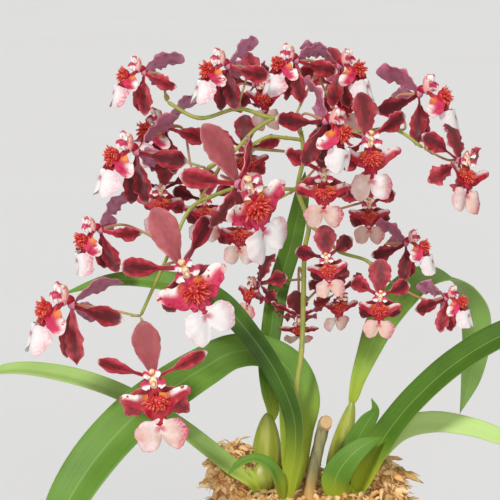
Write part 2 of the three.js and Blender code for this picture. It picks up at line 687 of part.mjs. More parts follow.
/** A pseudobulb: a flattened, pointed egg from its foot to its apex. */
function pseudobulb({ foot, apex, width, depth }) {
  const axis = vector(apex).sub(vector(foot));
  const egg = new THREE.SphereGeometry(1, 8, 6);
  const position = egg.attributes.position;
  for (let i = 0; i < position.count; i += 1) {
    const up = position.getY(i);
    const taper = 1 - BULB_TAPER * up;
    const [x, z] = [position.getX(i) * width, position.getZ(i) * depth];
    position.setXYZ(i, x * taper, (up * axis.length()) / 2, z * taper);
  }
  const up = new THREE.Vector3(0, 1, 0);
  const upright = new THREE.Quaternion().setFromUnitVectors(up, axis.clone().normalize());
  return egg.applyQuaternion(upright).translate(...vector(foot).addScaledVector(axis, 0.5).toArray());
}

/** The oval foot of a growth, or the hole that it stands in when a clearance is given. */
function foot({ at, radii }, clearance = 0) {
  const bottom = FOOT.bottom - clearance;
  const height = FOOT.top - bottom + (clearance > 0 ? FOOT.headroom : 0);
  const spread = clearance > 0 ? 1 : FOOT.taper;
  return new THREE.CylinderGeometry(spread, 1, height, FOOT.sides)
    .rotateX(Math.PI / 2)
    .scale(radii[0] + clearance, radii[1] + clearance, 1)
    .translate(at[0], at[1], bottom + height / 2);
}

/** The centre growth, with the plain hole in its axil that the flower stem stands in. */
function centreGrowth() {
  const { darkArch, broadArch, curledSheath } = LEAVES;
  const body = fused([leaf(darkArch), leaf(broadArch), leaf(curledSheath), foot(FEET.centre)]);
  return body.subtract(solidOf(stemSocket()));
}

/** The space round the foot of the flower stem. */
function stemSocket() {
  return bar(MAIN_AXIS.slice(0, 3), STEM.main + CLEARANCE, STEM.sides, 6);
}

const growths = {
  left_bulb_growth: [
    pseudobulb(BULBS.leftBulb),
    pseudobulb(BULBS.smallBulb),
    leaf(LEAVES.tallBack),
    leaf(LEAVES.longLeft),
    foot(FEET.left),
  ],
  right_bulb_growth: [pseudobulb(BULBS.rightBulb), leaf(LEAVES.rightArch), foot(FEET.right)],
  right_fan_growth: [
    leaf(LEAVES.rightLong),
    leaf(LEAVES.rightPale),
    leaf(LEAVES.hookedSheath),
    leaf(LEAVES.frontSheath),
    foot(FEET.fan),
  ],
};

// ---------------------------------------------------------------- pot, moss and cane

/** The pot's outer radius at a height. */
const potRadius = (height) => POT.baseRadius + ((POT.mouthRadius - POT.baseRadius) * height) / POT.height;

/** A turned body: radius and height pairs from the axis round to the axis. */
function turned(profile, sides) {
  const points = profile.map(([radius, height]) => new THREE.Vector2(radius, height));
  return new THREE.LatheGeometry(points, sides).rotateX(Math.PI / 2);
}

function pot() {
  const { height, wall, floor, rimHeight, rimOut, sides } = POT;
  const rimFoot = height - rimHeight;
  const shell = turned(
    [
      [0, 0],
      [potRadius(0), 0],
      [potRadius(rimFoot), rimFoot],
      [potRadius(rimFoot) + rimOut, rimFoot + 1],
      [potRadius(height) + rimOut, height],
      [potRadius(height) - wall, height],
      [potRadius(floor) - wall, floor],
      [0, floor],
    ],
    sides,
  );
  let body = solidOf(shell);
  for (let drain = 0; drain < POT.drains; drain += 1) {
    const turn = (2 * Math.PI * drain) / POT.drains;
    const hole = new THREE.CylinderGeometry(POT.drainRadius, POT.drainRadius, 3 * floor, POT.drainSides);
    const [x, y] = [POT.drainRing * Math.cos(turn), POT.drainRing * Math.sin(turn)];
    hole.rotateX(Math.PI / 2).translate(x, y, 0);
    body = body.subtract(solidOf(hole));
  }
  return part("pot", body, COLOURS.clay, 0.85);
}

/** Small bumps and hollows of the moss. */
const mossRelief = (x, y, z) =>
  Math.sin(0.9 * x + 1.3) * Math.cos(0.8 * y - 0.4) + 0.6 * Math.sin(0.5 * x - 0.7 * y + 0.6 * z);

/** Moves the points above the moss's edge up or down by the moss relief. */
function roughened(geometry) {
  const position = geometry.attributes.position;
  for (let i = 0; i < position.count; i += 1) {
    const [x, y, z] = [position.getX(i), position.getY(i), position.getZ(i)];
    if (z > MOSS.edgeHeight + 1) position.setZ(i, z + MOSS.roughness * mossRelief(x, y, z));
  }
  return geometry;
}

/** The moss, with a plain hole for each foot, for the flower stem and for the cane. */
function pottingMoss() {
  const inside = (height) => potRadius(height) - POT.wall - CLEARANCE;
  const bed = turned(
    [
      [0, POT.floor + CLEARANCE],
      [inside(POT.floor + CLEARANCE), POT.floor + CLEARANCE],
      [inside(MOSS.edgeHeight), MOSS.edgeHeight],
      [MOSS.slopeRadius, MOSS.slopeHeight],
      [MOSS.shoulderRadius, MOSS.shoulderHeight],
      [MOSS.shoulderRadius * 0.6, MOSS.crownHeight - 0.5],
      [MOSS.shoulderRadius * 0.25, MOSS.crownHeight],
      [0, MOSS.crownHeight],
    ],
    POT.sides,
  );
  const tuft = ({ at, radius, height }) => roughened(ball(at, [radius, radius, height], 1));
  const tufts = MOSS_TUFTS.map(tuft);
  let moss = fused([roughened(bed), ...tufts]);
  const holes = [...Object.values(FEET).map((oval) => foot(oval, CLEARANCE)), cane(CLEARANCE)];
  for (const hole of holes) moss = moss.subtract(solidOf(hole));
  return largestBody(moss);
}

/** The old cane before its end is cut, or the hole that it stands in when a clearance is given. */
function cane(clearance = 0) {
  return bar([CANE.foot, CANE.middle, CANE.top], CANE.radius + clearance, CANE.sides, 6);
}

/** The old cane, cut off at a slant. */
function cutCane() {
  const { top, cutHeight, cutFaces } = CANE;
  const down = vector(cutFaces).normalize().negate();
  const middle = new THREE.Vector3(top[0], top[1], cutHeight);
  return solidOf(cane()).trimByPlane(down.toArray(), middle.dot(down));
}

// ---------------------------------------------------------------- export

const orchid = new THREE.Group();
orchid.add(pot());
orchid.add(part("potting_moss", pottingMoss(), COLOURS.moss, 0.9));
orchid.add(part("cut_cane", cutCane(), COLOURS.cane, 0.7));
orchid.add(part("centre_growth", centreGrowth(), COLOURS.leaf, 0.45));
for (const [name, solids] of Object.entries(growths)) {
  orchid.add(part(name, fused(solids), COLOURS.leaf, 0.45));
}
orchid.add(flowerStem());
BLOOMS.forEach((bloom, i) => orchid.add(bloomGroup(bloom, i + 1)));

export default orchid;
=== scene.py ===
"""An oncidium orchid in its clay pot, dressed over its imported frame.

Lengths in the tables are millimetres in the frame of the part, and turn to metres in joined.
"""

import logging
import math
from dataclasses import dataclass, field
from enum import Enum, IntEnum
from typing import Sequence

import bpy
import numpy as np
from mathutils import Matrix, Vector

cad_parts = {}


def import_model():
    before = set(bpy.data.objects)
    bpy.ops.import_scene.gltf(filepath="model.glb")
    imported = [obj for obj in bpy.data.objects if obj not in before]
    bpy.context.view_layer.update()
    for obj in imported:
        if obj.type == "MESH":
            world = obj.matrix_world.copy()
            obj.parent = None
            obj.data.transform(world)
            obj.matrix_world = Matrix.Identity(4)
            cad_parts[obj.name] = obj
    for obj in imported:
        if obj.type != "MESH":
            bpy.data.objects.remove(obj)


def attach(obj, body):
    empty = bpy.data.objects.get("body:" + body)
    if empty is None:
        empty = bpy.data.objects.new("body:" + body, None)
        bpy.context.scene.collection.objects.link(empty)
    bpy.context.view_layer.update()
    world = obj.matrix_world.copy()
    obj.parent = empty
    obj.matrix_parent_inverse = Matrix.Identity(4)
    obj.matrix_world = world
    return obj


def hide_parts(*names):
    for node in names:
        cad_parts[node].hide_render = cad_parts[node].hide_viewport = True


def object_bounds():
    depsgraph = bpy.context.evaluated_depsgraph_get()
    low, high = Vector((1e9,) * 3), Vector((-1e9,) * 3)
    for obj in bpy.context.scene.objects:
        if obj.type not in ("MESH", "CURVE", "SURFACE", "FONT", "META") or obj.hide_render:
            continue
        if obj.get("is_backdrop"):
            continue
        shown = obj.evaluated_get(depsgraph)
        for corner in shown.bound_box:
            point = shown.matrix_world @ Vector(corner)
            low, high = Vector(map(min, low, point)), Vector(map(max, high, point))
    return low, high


Array = np.ndarray
Material = bpy.types.Material
Thing = bpy.types.Object
Numbers = Sequence[float]
Pair = tuple[float, float]
Trio = tuple[float, float, float]

LOG = logging.getLogger("orchid")
MILLI = 0.001
LEAST_LENGTH = 1e-12
LEAST_GAP = 1e-4
GOLDEN_ANGLE = 2.39996
SHOULDER = 0.7
UP = np.array([0.0, 0.0, 1.0])
BACK = np.array([0.0, 1.0, 0.0])
NO_TRAIT = (0.0, 0.0, 0.0)


# ---- number helpers


def unit(vectors: Array) -> Array:
    """Vectors divided by their lengths."""
    return vectors / np.maximum(np.linalg.norm(vectors, axis=-1, keepdims=True), LEAST_LENGTH)


def step(low: float, high: float, value: Array) -> Array:
    """A smooth rise from 0 at low to 1 at high."""
    share = np.clip((value - low) / (high - low), 0, 1)
    return share * share * (3 - 2 * share)


def cycle(count: float, t: Array, phase: Array | float = 0.0) -> Array:
    """A sine that runs through count turns while t runs from 0 to 1."""
    return np.sin(2 * np.pi * count * t + phase)


def bell(value: Array, reach: float) -> Array:
    """A bell of height 1 over 0, which falls off within the reach."""
    return np.exp(-((value / reach) ** 2))


def grid(*axes: Array | float) -> Array:
    """Arrays spread over each other, as the numbers of one vector at each point."""
    return np.stack(np.broadcast_arrays(*axes), axis=-1)


def smooth_route(route: Sequence, t: Array) -> Array:
    """A smooth curve through the points of a route.

    Between two points it is the cubic whose slopes at them come from the distances to their
    neighbours, each raised to one half. A mirrored point stands past either end.

    Args:
        route: the points, as rows of three.
        t: where to read the curve, from 0 at the first point to 1 at the last.

    Returns:
        One point for each t.
    """
    points = np.array(route, float)
    whole = np.vstack([2 * points[0] - points[1], points, 2 * points[-1] - points[-2]])
    place = np.clip(t, 0, 1) * (len(points) - 1)
    lower = np.minimum(place.astype(int), len(points) - 2)
    share = (place - lower)[:, None]
    p0, p1, p2, p3 = (whole[lower + k] for k in range(4))
    roots = (np.sqrt(np.linalg.norm(q - p, axis=1)) for p, q in ((p0, p1), (p1, p2), (p2, p3)))
    before, here, after = (np.maximum(root, LEAST_GAP)[:, None] for root in roots)
    slope1 = ((p1 - p0) / before - (p2 - p0) / (before + here) + (p2 - p1) / here) * here
    slope2 = ((p2 - p1) / here - (p3 - p1) / (here + after) + (p3 - p2) / after) * here
    bend = -3 * p1 + 3 * p2 - 2 * slope1 - slope2
    turn = 2 * p1 - 2 * p2 + slope1 + slope2
    return p1 + slope1 * share + bend * share**2 + turn * share**3


def smooth_values(values: Numbers, t: Array) -> Array:
    """Evenly spaced values, read at t by the same smooth curve and never below zero."""
    line = grid(np.arange(len(values)), np.array(values, float), 0.0)
    return np.maximum(smooth_route(line, t)[:, 1], 0)


def ease(rows: int, crowding: float = 0.5) -> Array:
    """Numbers from 0 to 1 that stand closer together near both ends."""
    u = np.linspace(0, 1, rows)
    return (1 - crowding) * u + crowding * (0.5 - 0.5 * np.cos(np.pi * u))


# ---- surfaces


@dataclass
class Shell:
    """A closed surface.

    Attributes:
        points: one row a vertex, in millimetres.
        quads: faces of four.
        tris: faces of three.
        place: across (-1 to 1), along (0 to 1) and front (1 front, -1 back) of each vertex.
        trait: three numbers of each vertex, for its finish.
        zone: the number of the finish that its faces take.
    """

    points: Array
    quads: Array
    tris: Array
    place: Array
    trait: Array
    zone: int = 0


def shells(points: Array, place: Array, trait: Array | Numbers = NO_TRAIT, zone: int = 0) -> Shell:
    """Closes lattices of rows and columns: columns wrap round, and the end rows are poles.

    Args:
        points: an array of lattices, rows, columns and 3, or one lattice.
        place: the place of each point, for all lattices alike.
        trait: three numbers for all, or a row of them for each lattice.
        zone: the number of the finish.

    Returns:
        The closed surface, with its faces turned outwards.
    """
    if points.ndim == 3:
        points = points[None]
    count, rows, cols = points.shape[:3]

    def flat(lattices: Array) -> Array:
        """One row for each pole and each inner point of every lattice.

        Args:
            lattices: the lattices.

        Returns:
            Their rows.
        """
        first, inner, last = lattices[:, :1], lattices[:, 1:-1], lattices[:, -1:]
        poles = (first.mean(axis=2), inner.reshape(count, -1, 3), last.mean(axis=2))
        return np.concatenate(poles, axis=1)

    vertices = flat(points)
    size = vertices.shape[1]
    ring = np.arange(cols)
    after = (ring + 1) % cols
    start = 1 + cols * np.arange(rows - 3)[:, None]
    quads = grid(start + ring, start + after, start + cols + after, start + cols + ring)
    quads = quads.reshape(-1, 4)
    last = 1 + cols * (rows - 3)
    tris = np.vstack([grid(0, after + 1, ring + 1), grid(size - 1, last + ring, last + after)])
    fans = np.vstack([quads[:, [0, 1, 2]], quads[:, [0, 2, 3]], tris])
    first, second, third = np.moveaxis(vertices[0][fans], 1, 0)
    if np.einsum("ij,ij->i", first, np.cross(second, third)).sum() < 0:
        quads, tris = quads[:, ::-1], tris[:, ::-1]
    shift = size * np.arange(count)[:, None, None]
    traits = np.broadcast_to(np.asarray(trait, float).reshape(-1, 1, 3), (count, size, 3))
    return Shell(
        vertices.reshape(-1, 3),
        (quads[None] + shift).reshape(-1, 4),
        (tris[None] + shift).reshape(-1, 3),
        flat(np.broadcast_to(place, points.shape)).reshape(-1, 3),
        traits.reshape(-1, 3),
        zone,
    )


def loop(columns: int) -> tuple[Array, Array]:
    """Cosine and sine of the columns' angles."""
    turn = 2 * np.pi * np.arange(columns) / columns
    return np.cos(turn), np.sin(turn)


def hoop(side: Array, other: Array, columns: int) -> Array:
    """Circles of radius 1, each in the plane of its side and its other way."""
    across, up = loop(columns)
    return side[..., None, :] * across[:, None] + other[..., None, :] * up[:, None]


def lattice_place(columns: int, along: Array) -> Array:
    """The place of each point of a lattice, with along for each row."""
    across, up = loop(columns)
    return grid(across, along[:, None], up)


def axes(columns: int, width: Array, t: Array) -> tuple[Array, Array, Array]:
    """Across, half width and along of a blade's points, spread for its lift."""
    return loop(columns)[0][None], width[:, None], t[:, None]


def blade(
    rib: Array,
    side: Array,
    width: Array,
    lift: Array,
    thick: Array | float,
    t: Array,
    trait: Numbers = NO_TRAIT,
    zone: int = 0,
) -> Shell:
    """A thin closed blade round its rib.

    Round each row runs an angle. Its cosine goes across from edge to edge, and its sine, with its
    shoulders filled out, lifts the front face off the back one.

    Args:
        rib: a point for each row.
        side: the way to the right edge for each row.
        width: half width of each row.
        lift: how far the middle of the blade stands forward, for each row and column.
        thick: half thickness at the rib.
        t: the place along the blade of each row.
        trait: three numbers for its finish.
        zone: the number of its finish.

    Returns:
        The blade.
    """
    columns = lift.shape[1]
    ahead = unit(np.gradient(rib, axis=0))
    face = unit(np.cross(side, ahead))
    side = np.cross(ahead, face)
    across, up = loop(columns)
    raised = lift + np.reshape(thick, (-1, 1)) * np.sign(up) * np.abs(up) ** SHOULDER
    sideways = side[:, None] * (width[:, None] * across)[..., None]
    points = rib[:, None] + sideways + face[:, None] * raised[..., None]
    return shells(points, lattice_place(columns, t), trait, zone)


def tube(path: Array, radius: Array | float, columns: int, trait: Numbers = NO_TRAIT) -> Shell:
    """A round bar along a path, with pointed ends.

    Each ring stands square to the path. It is set out from the way in which the path strays least,
    so that it never twists. The two end rings shrink to a point.

    Args:
        path: the points of the centre line.
        radius: one radius, or one for each point.
        columns: points round a ring.
        trait: three numbers for its finish.

    Returns:
        The bar.
    """
    ahead = unit(np.gradient(path, axis=0))
    least = np.linalg.svd(path - path.mean(axis=0))[2][2]
    side = unit(np.cross(ahead, least))
    thick = np.broadcast_to(np.asarray(radius, float), (len(path),)).copy()
    thick[[0, -1]] = 0
    points = path[:, None] + thick[:, None, None] * hoop(side, np.cross(ahead, side), columns)
    return shells(points, lattice_place(columns, np.linspace(0, 1, len(path))), trait)


def bars(
    rib: Array, way: Array, aside: Numbers, thick: Array, columns: int, trait: Array, zone: int = 0
) -> Shell:
    """Many short round bars at once, with the rings of each square to its way.

    Args:
        rib: an array of bars, rows and 3.
        way: the way of each bar.
        aside: a way that no bar takes, from which the rings are set out.
        thick: the radius of each ring.
        columns: points round a ring.
        trait: three numbers for the finish of each bar.
        zone: the number of their finish.

    Returns:
        The bars.
    """
    side = unit(np.cross(way, aside))
    ring = hoop(side, np.cross(way, side), columns)[:, None]
    points = rib[:, :, None] + thick[..., None, None] * ring
    return shells(points, lattice_place(columns, np.linspace(0, 1, rib.shape[1])), trait, zone)


def egg(
    centre: Numbers,
    radii: Numbers,
    rows: int,
    columns: int,
    pull: float = 0.0,
    ridges: tuple[int, float] = (0, 0.0),
    trait: Numbers = NO_TRAIT,
    zone: int = 0,
) -> Shell:
    """An upright egg.

    Its rings are a sine of the way down from the top. pull narrows it towards the top, and ridges
    add a cosine round it.

    Args:
        centre: its middle.
        radii: half its size along X, Y and Z.
        rows: rows from pole to pole.
        columns: points round a row.
        pull: how much narrower the top is than the middle.
        ridges: how many ridges, and their height as a share of the radius.
        trait: three numbers for its finish.
        zone: the number of its finish.

    Returns:
        The egg.
    """
    down = np.linspace(0, np.pi, rows)
    across, up = loop(columns)
    ridge = 1 + ridges[1] * np.cos(ridges[0] * np.arctan2(up, across))
    height = np.cos(down)[:, None]
    girth = np.sin(down)[:, None] * (1 - pull * height) * ridge
    points = np.array(centre) + grid(girth * across, girth * up, height) * np.array(radii)
    return shells(points, lattice_place(columns, 0.5 + 0.5 * np.cos(down)), trait, zone)


def lathe(profile: Sequence[Numbers], columns: int) -> Shell:
    """A turned body whose profile of radius and height runs from the axis round to the axis.

    Args:
        profile: pairs of radius and height.
        columns: points round the body.

    Returns:
        The body.
    """
    girth, height = np.array(profile, float).T[..., None]
    across, up = loop(columns)
    points = grid(girth * across, girth * up, height)
    return shells(points, lattice_place(columns, np.linspace(0, 1, len(profile))))


def joined(name: str, parts: Sequence[Shell]) -> bpy.types.Mesh:
    """One bare mesh, in metres, from closed surfaces.

    Args:
        name: what the mesh is called.
        parts: the surfaces.

    Returns:
        The mesh.
    """
    starts = np.cumsum([0] + [len(part.points) for part in parts])
    faces = []
    for start, part in zip(starts, parts):
        faces += (part.quads + start).tolist() + (part.tris + start).tolist()
    mesh = bpy.data.meshes.new(name)
    points = np.vstack([part.points for part in parts]) * MILLI
    mesh.from_pydata(points.tolist(), [], faces)
    return mesh


def linked(name: str, data: bpy.types.ID) -> Thing:
    """A new object, linked to the scene.

    Args:
        name: what the object is called.
        data: its mesh, lamp or camera.

    Returns:
        The object.
    """
    thing = bpy.data.objects.new(name, data)
    bpy.context.scene.collection.objects.link(thing)
    return thing


# ---- shader maths


def colour(code: str) -> tuple[float, float, float, float]:
    """A hexadecimal display colour as linear red, green, blue and alpha.

    Args:
        code: the display colour.

    Returns:
        The linear colour.
    """
    parts = [int(code[k : k + 2], 16) / 255 for k in (1, 3, 5)]
    linear = [c / 12.92 if c <= 0.04045 else ((c + 0.055) / 1.055) ** 2.4 for c in parts]
    return (*linear, 1.0)


class Signal:
    """A socket whose value joins in Python's sums."""

    def __init__(self, graph: "Graph", socket: bpy.types.NodeSocket) -> None:
        """Keeps the socket and the graph that it is in."""
        self.graph = graph
        self.socket = socket

    def math(self, operation: str, *others: "Signal | float") -> "Signal":
        """A Math node on this value and others."""
        return self.graph.node("ShaderNodeMath", {"operation": operation}, [self, *others])

    def __add__(self, other: "Signal | float") -> "Signal":
        """This value plus another."""
        return self.math("ADD", other)

    def __mul__(self, other: "Signal | float") -> "Signal":
        """This value times another."""
        return self.math("MULTIPLY", other)

    def __sub__(self, other: "Signal | float") -> "Signal":
        """This value less another."""
        return self.math("SUBTRACT", other)

    def __rsub__(self, other: float) -> "Signal":
        """A number less this value."""
        return self.graph.node("ShaderNodeMath", {"operation": "SUBTRACT"}, [other, self])

    def size(self) -> "Signal":
        """This value without its sign."""
        return self.math("ABSOLUTE")

    def rise(self, low: float, high: float) -> "Signal":
        """A smooth rise from 0 at low to 1 at high.

        Args:
            low: where the rise starts.
            high: where it ends.

        Returns:
            The rise.
        """
        settings = {"interpolation_type": "SMOOTHSTEP"}
        values = {"Value": self, "From Min": low, "From Max": high}
        return self.graph.node("ShaderNodeMapRange", settings, values)


class Graph:
    """The nodes of one material."""

    def __init__(self, name: str) -> None:
        """Makes an empty material with its surface shader.

        Args:
            name: what the material is called.
        """
        self.material = bpy.data.materials.new(name)
        self.material.use_nodes = True
        self.nodes = self.material.node_tree.nodes
        self.links = self.material.node_tree.links
        self.shader = self.nodes["Principled BSDF"]

    def node(self, kind: str, settings: dict, values: dict | list, output: int | str = 0) -> Signal:
        """Adds any node.

        Args:
            kind: its type.
            settings: properties set first. stops gives a ramp's places and colours.
            values: numbers, colours or signals for its sockets, by name or in order.
            output: the output to return.

        Returns:
            One output of the node.
        """
        made = self.nodes.new(kind)
        for key, value in settings.items():
            if key == "stops":
                ramp = made.color_ramp.elements
                while len(ramp) < len(value):
                    ramp.new(0.5)
                for element, (place, code) in zip(ramp, value):
                    element.position, element.color = place, colour(code)
            else:
                setattr(made, key, value)
        for key, value in values.items() if isinstance(values, dict) else enumerate(values):
            self.feed(made.inputs[key], value)
        return Signal(self, made.outputs[output])

    def feed(self, socket: bpy.types.NodeSocket, value: object) -> None:
        """Links a signal to a socket, or sets a number or colour on it.

        Args:
            socket: the socket.
            value: the signal, the number or the colour.
        """
        if isinstance(value, Signal):
            self.links.new(value.socket, socket)
        else:
            socket.default_value = value

    def carried(self, name: str) -> Signal:
        """A vector that each vertex carries."""
        return self.node("ShaderNodeAttribute", {"attribute_name": name}, {}, "Vector")

    def attribute(self, name: str) -> list[Signal]:
        """The three numbers of a vector that each vertex carries."""
        vector = self.carried(name)
        return [self.node("ShaderNodeSeparateXYZ", {}, [vector], axis) for axis in range(3)]

    def texture(self, vector: Signal, stretch: Trio, scale: float, detail: float) -> Signal:
        """Noise on a vector, with each of its axes stretched.

        Args:
            vector: where the noise is read.
            stretch: what each axis is multiplied by.
            scale: features a unit.
            detail: how many finer layers are added.

        Returns:
            The noise.
        """
        spread = self.node("ShaderNodeMapping", {}, {"Vector": vector, "Scale": stretch})
        values = {"Vector": spread, "Scale": scale, "Detail": detail}
        return self.node("ShaderNodeTexNoise", {}, values)

    def noise(self, scale: float, detail: float = 3.0, stretch: Trio = (1, 1, 1)) -> Signal:
        """Noise on Object coordinates, with scale features a metre."""
        place = self.node("ShaderNodeTexCoord", {}, {}, "Object")
        return self.texture(place, stretch, scale, detail)

    def along(self, stretch: Trio, scale: float = 1.0, detail: float = 2.0) -> Signal:
        """Noise on the place that each vertex carries, so that it follows the surface."""
        return self.texture(self.carried("place"), stretch, scale, detail)

    def mix(self, share: Signal | float, first: Signal | str, second: Signal | str) -> Signal:
        """A colour between two.

        Args:
            share: how much of the second.
            first: one colour.
            second: the other.

        Returns:
            The colour.
        """
        ends = [colour(end) if isinstance(end, str) else end for end in (first, second)]
        values = {0: share, 6: ends[0], 7: ends[1]}
        return self.node("ShaderNodeMix", {"data_type": "RGBA"}, values, 2)

    def layers(self, skin: Signal | str, *coats: tuple[Signal, Signal | str]) -> Signal:
        """A colour that other colours cover in turn, each by its share.

        Args:
            skin: the lowest colour.
            coats: pairs of a share and a colour.

        Returns:
            The colour.
        """
        for share, coat in coats:
            skin = self.mix(share, skin, coat)
        return skin

    def ramp(self, share: Signal, *stops: tuple[float, str]) -> Signal:
        """A colour read from stops of place and colour."""
        return self.node("ShaderNodeValToRGB", {"stops": stops}, [share])

    def finish(
        self,
        gloss: float,
        skin: Signal,
        rough: Signal | float,
        relief: tuple[Signal, float, float] | None = None,
        **others: Signal | float,
    ) -> Material:
        """Fills the shader's sockets.

        Args:
            gloss: its specular level.
            skin: its colour.
            rough: its roughness.
            relief: the height, the strength and the distance in metres of its bump.
            others: what goes to other sockets, by name.

        Returns:
            The material.
        """
        values = {"Specular IOR Level": gloss, "Base Color": skin, "Roughness": rough}
        if relief:
            bump = dict(zip(("Height", "Strength", "Distance"), relief))
            values["Normal"] = self.node("ShaderNodeBump", {}, bump)
        for name, value in {**values, **others}.items():
            self.feed(self.shader.inputs[name.replace("_", " ")], value)
        return self.material


# ---- finishes


class Slot(Enum):
    """Names of the material slots."""

    CLAY = "clay"
    MOSS = "moss"
    CANE = "cane"
    LEAF = "leaf"
    STEM = "stem"
    TEPAL = "tepal"
    LIP = "lip"


class LipZone(IntEnum):
    """The parts of a lip that differ in finish."""

    MID_LOBE = 0
    SIDE_LOBES = 1
    CALLUS = 2
    COLUMN = 3
    WINGS = 4


@dataclass(frozen=True)
class TepalFinish:
    """Crimson or dusty rose in front, lilac behind, with a thin pale margin and a white tip."""

    front: str = "#a4192c"
    deep: str = "#46040f"
    bright: str = "#e2636f"
    rose: str = "#b9696a"
    rose_deep: str = "#9c4a4f"
    reverse: str = "#c07f9a"
    reverse_deep: str = "#9e4e70"
    margin: str = "#eebabc"
    tip: str = "#f2e0de"
    veins: float = 26.0

    def material(self) -> Material:
        """Mottles along the blade, fine veins, and a margin where across nears 1.

        The trait gives the tone, how rosy the front is, and how white the tip is.

        Returns:
            The material.
        """
        g = Graph("tepal_skin")
        across, along, front = g.attribute("place")
        tone, rose, white = g.attribute("trait")
        mottle = g.along((1.6, 3.4, 0.3), 1.5)
        blotch = g.noise(600)
        shade = mottle * 0.32 + blotch * 0.2 + across * across * 0.2 + tone * 0.06 + 0.12
        red = g.ramp(shade, (0.36, self.deep), (0.5, self.front), (0.68, self.bright))
        dusty = g.mix(shade.rise(0.3, 0.72), self.rose_deep, self.rose)
        back = g.layers(
            self.reverse,
            ((mottle * 0.6 + blotch * 0.4).rise(0.42, 0.7), self.reverse_deep),
            (tone.rise(-0.2, 0.9) * 0.35, red),
        )
        skin = g.layers(
            g.mix(front.rise(-0.25, 0.25), back, g.mix(rose, red, dusty)),
            ((across.size() + mottle * 0.3 - 0.15).rise(0.88, 1.08) * 0.6, self.margin),
            ((along + blotch * 0.08).rise(0.95, 1.05) * white, self.tip),
        )
        vein = (across * self.veins + blotch * 2.0).math("SINE")
        return g.finish(0.22, skin, blotch * 0.2 + 0.36, (vein * 0.04 + blotch, 0.4, 0.0003))


@dataclass(frozen=True)
class MidLobeFinish:
    """White to cream, with a pink flush and flecks on the outer edges."""

    white: str = "#e9e3e2"
    cream: str = "#dab6a8"
    flush: str = "#cc5068"
    vein: str = "#dca0a8"
    root: str = "#c23a52"

    def material(self) -> Material:
        """The flush grows with the way out and across, and breaks into flecks.

        The trait gives the tone, how creamy it is, and whether its right side is flushed more.

        Returns:
            The material.
        """
        g = Graph("mid_lobe_skin")
        across, along, _ = g.attribute("place")
        tone, warm, lopsided = g.attribute("trait")
        fleck, cloud = g.noise(1500), g.noise(260)
        sideways = across.size().rise(0.2, 0.9) * (across * lopsided).rise(-1.6, 0.6)
        flush = along.rise(0.4, 1.0) * sideways * (tone * 0.25 + warm * 0.15 + 0.8)
        vein = g.along((9.0, 1.2, 0.0), 1.3)
        skin = g.layers(
            self.white,
            ((cloud + warm * 0.3).rise(0.45, 0.85), self.cream),
            (flush * (fleck.rise(0.38, 0.56) * 0.6 + 0.4), self.flush),
            (vein.rise(0.58, 0.76) * 0.2, self.vein),
            ((along + fleck * 0.04).rise(0.95, 1.02) * (warm * 0.25 + 0.3), self.flush),
            ((1 - (along + cloud * 0.1).rise(0.1, 0.36)) * 0.8, self.root),
        )
        return g.finish(0.3, skin, cloud * 0.15 + 0.42, (vein + fleck * 0.3, 0.35, 0.0003))


@dataclass(frozen=True)
class SideLobeFinish:
    """Crimson, with yellow patches by the callus, and white tips and upper edge."""

    red: str = "#a01426"
    pink: str = "#cf3a60"
    white: str = "#f6e8e2"
    yellow: str = "#e8963a"

    def material(self) -> Material:
        """Zones by the place along the sheet: yellow near its middle, white at its ends.

        The trait gives the tone, how pink it is, and how plain, which leaves out yellow and white.

        Returns:
            The material.
        """
        g = Graph("side_lobe_skin")
        across, along, _ = g.attribute("place")
        tone, pink, plain = g.attribute("trait")
        mottle = g.noise(700, 4.0)
        marked = 1 - plain
        out = (along - 0.5).size() * 2.0 + mottle * 0.2 - 0.1
        upper = 1 - (across + mottle * 0.5 - 0.25).rise(-0.6, 0.15)
        by_crest = out.rise(0.08, 0.24) * (1 - out.rise(0.26, 0.5)) * upper * 0.85
        edge = upper * out.rise(0.38, 0.6) * (1 - out.rise(0.84, 0.98))
        tips = edge.math("MAXIMUM", out.rise(0.80, 0.97) * pink)
        skin = g.layers(
            self.red,
            ((mottle * 0.8 + pink * 0.35 + tone * 0.05).rise(0.42, 0.74), self.pink),
            (by_crest * marked, self.yellow),
            (tips * mottle.rise(0.30, 0.46) * marked, self.white),
        )
        return g.finish(0.3, skin, mottle * 0.15 + 0.4, (mottle, 0.4, 0.0003))


@dataclass(frozen=True)
class CallusFinish:
    """A waxy orange-red crest with paler finger tips."""

    body: str = "#bf2a2c"
    finger: str = "#d43e34"
    tip: str = "#ec7a5e"
    wart: str = "#a01a24"

    def material(self) -> Material:
        """Dark red at the roots of the fingers and pale orange at their tips, with dark warts.

        The trait gives the tone.

        Returns:
            The material.
        """
        g = Graph("callus_skin")
        _, along, _ = g.attribute("place")
        tone, _, _ = g.attribute("trait")
        wart = g.noise(1300, 4.0)
        stops = (0.1, self.body), (0.5, self.finger), (1.0, self.tip)
        waxy = g.ramp(along * 0.85 + tone * 0.2, *stops)
        skin = g.mix(wart.rise(0.58, 0.70) * 0.25, waxy, self.wart)
        return g.finish(0.5, skin, wart * 0.2 + 0.3, (wart, 0.5, 0.0002))


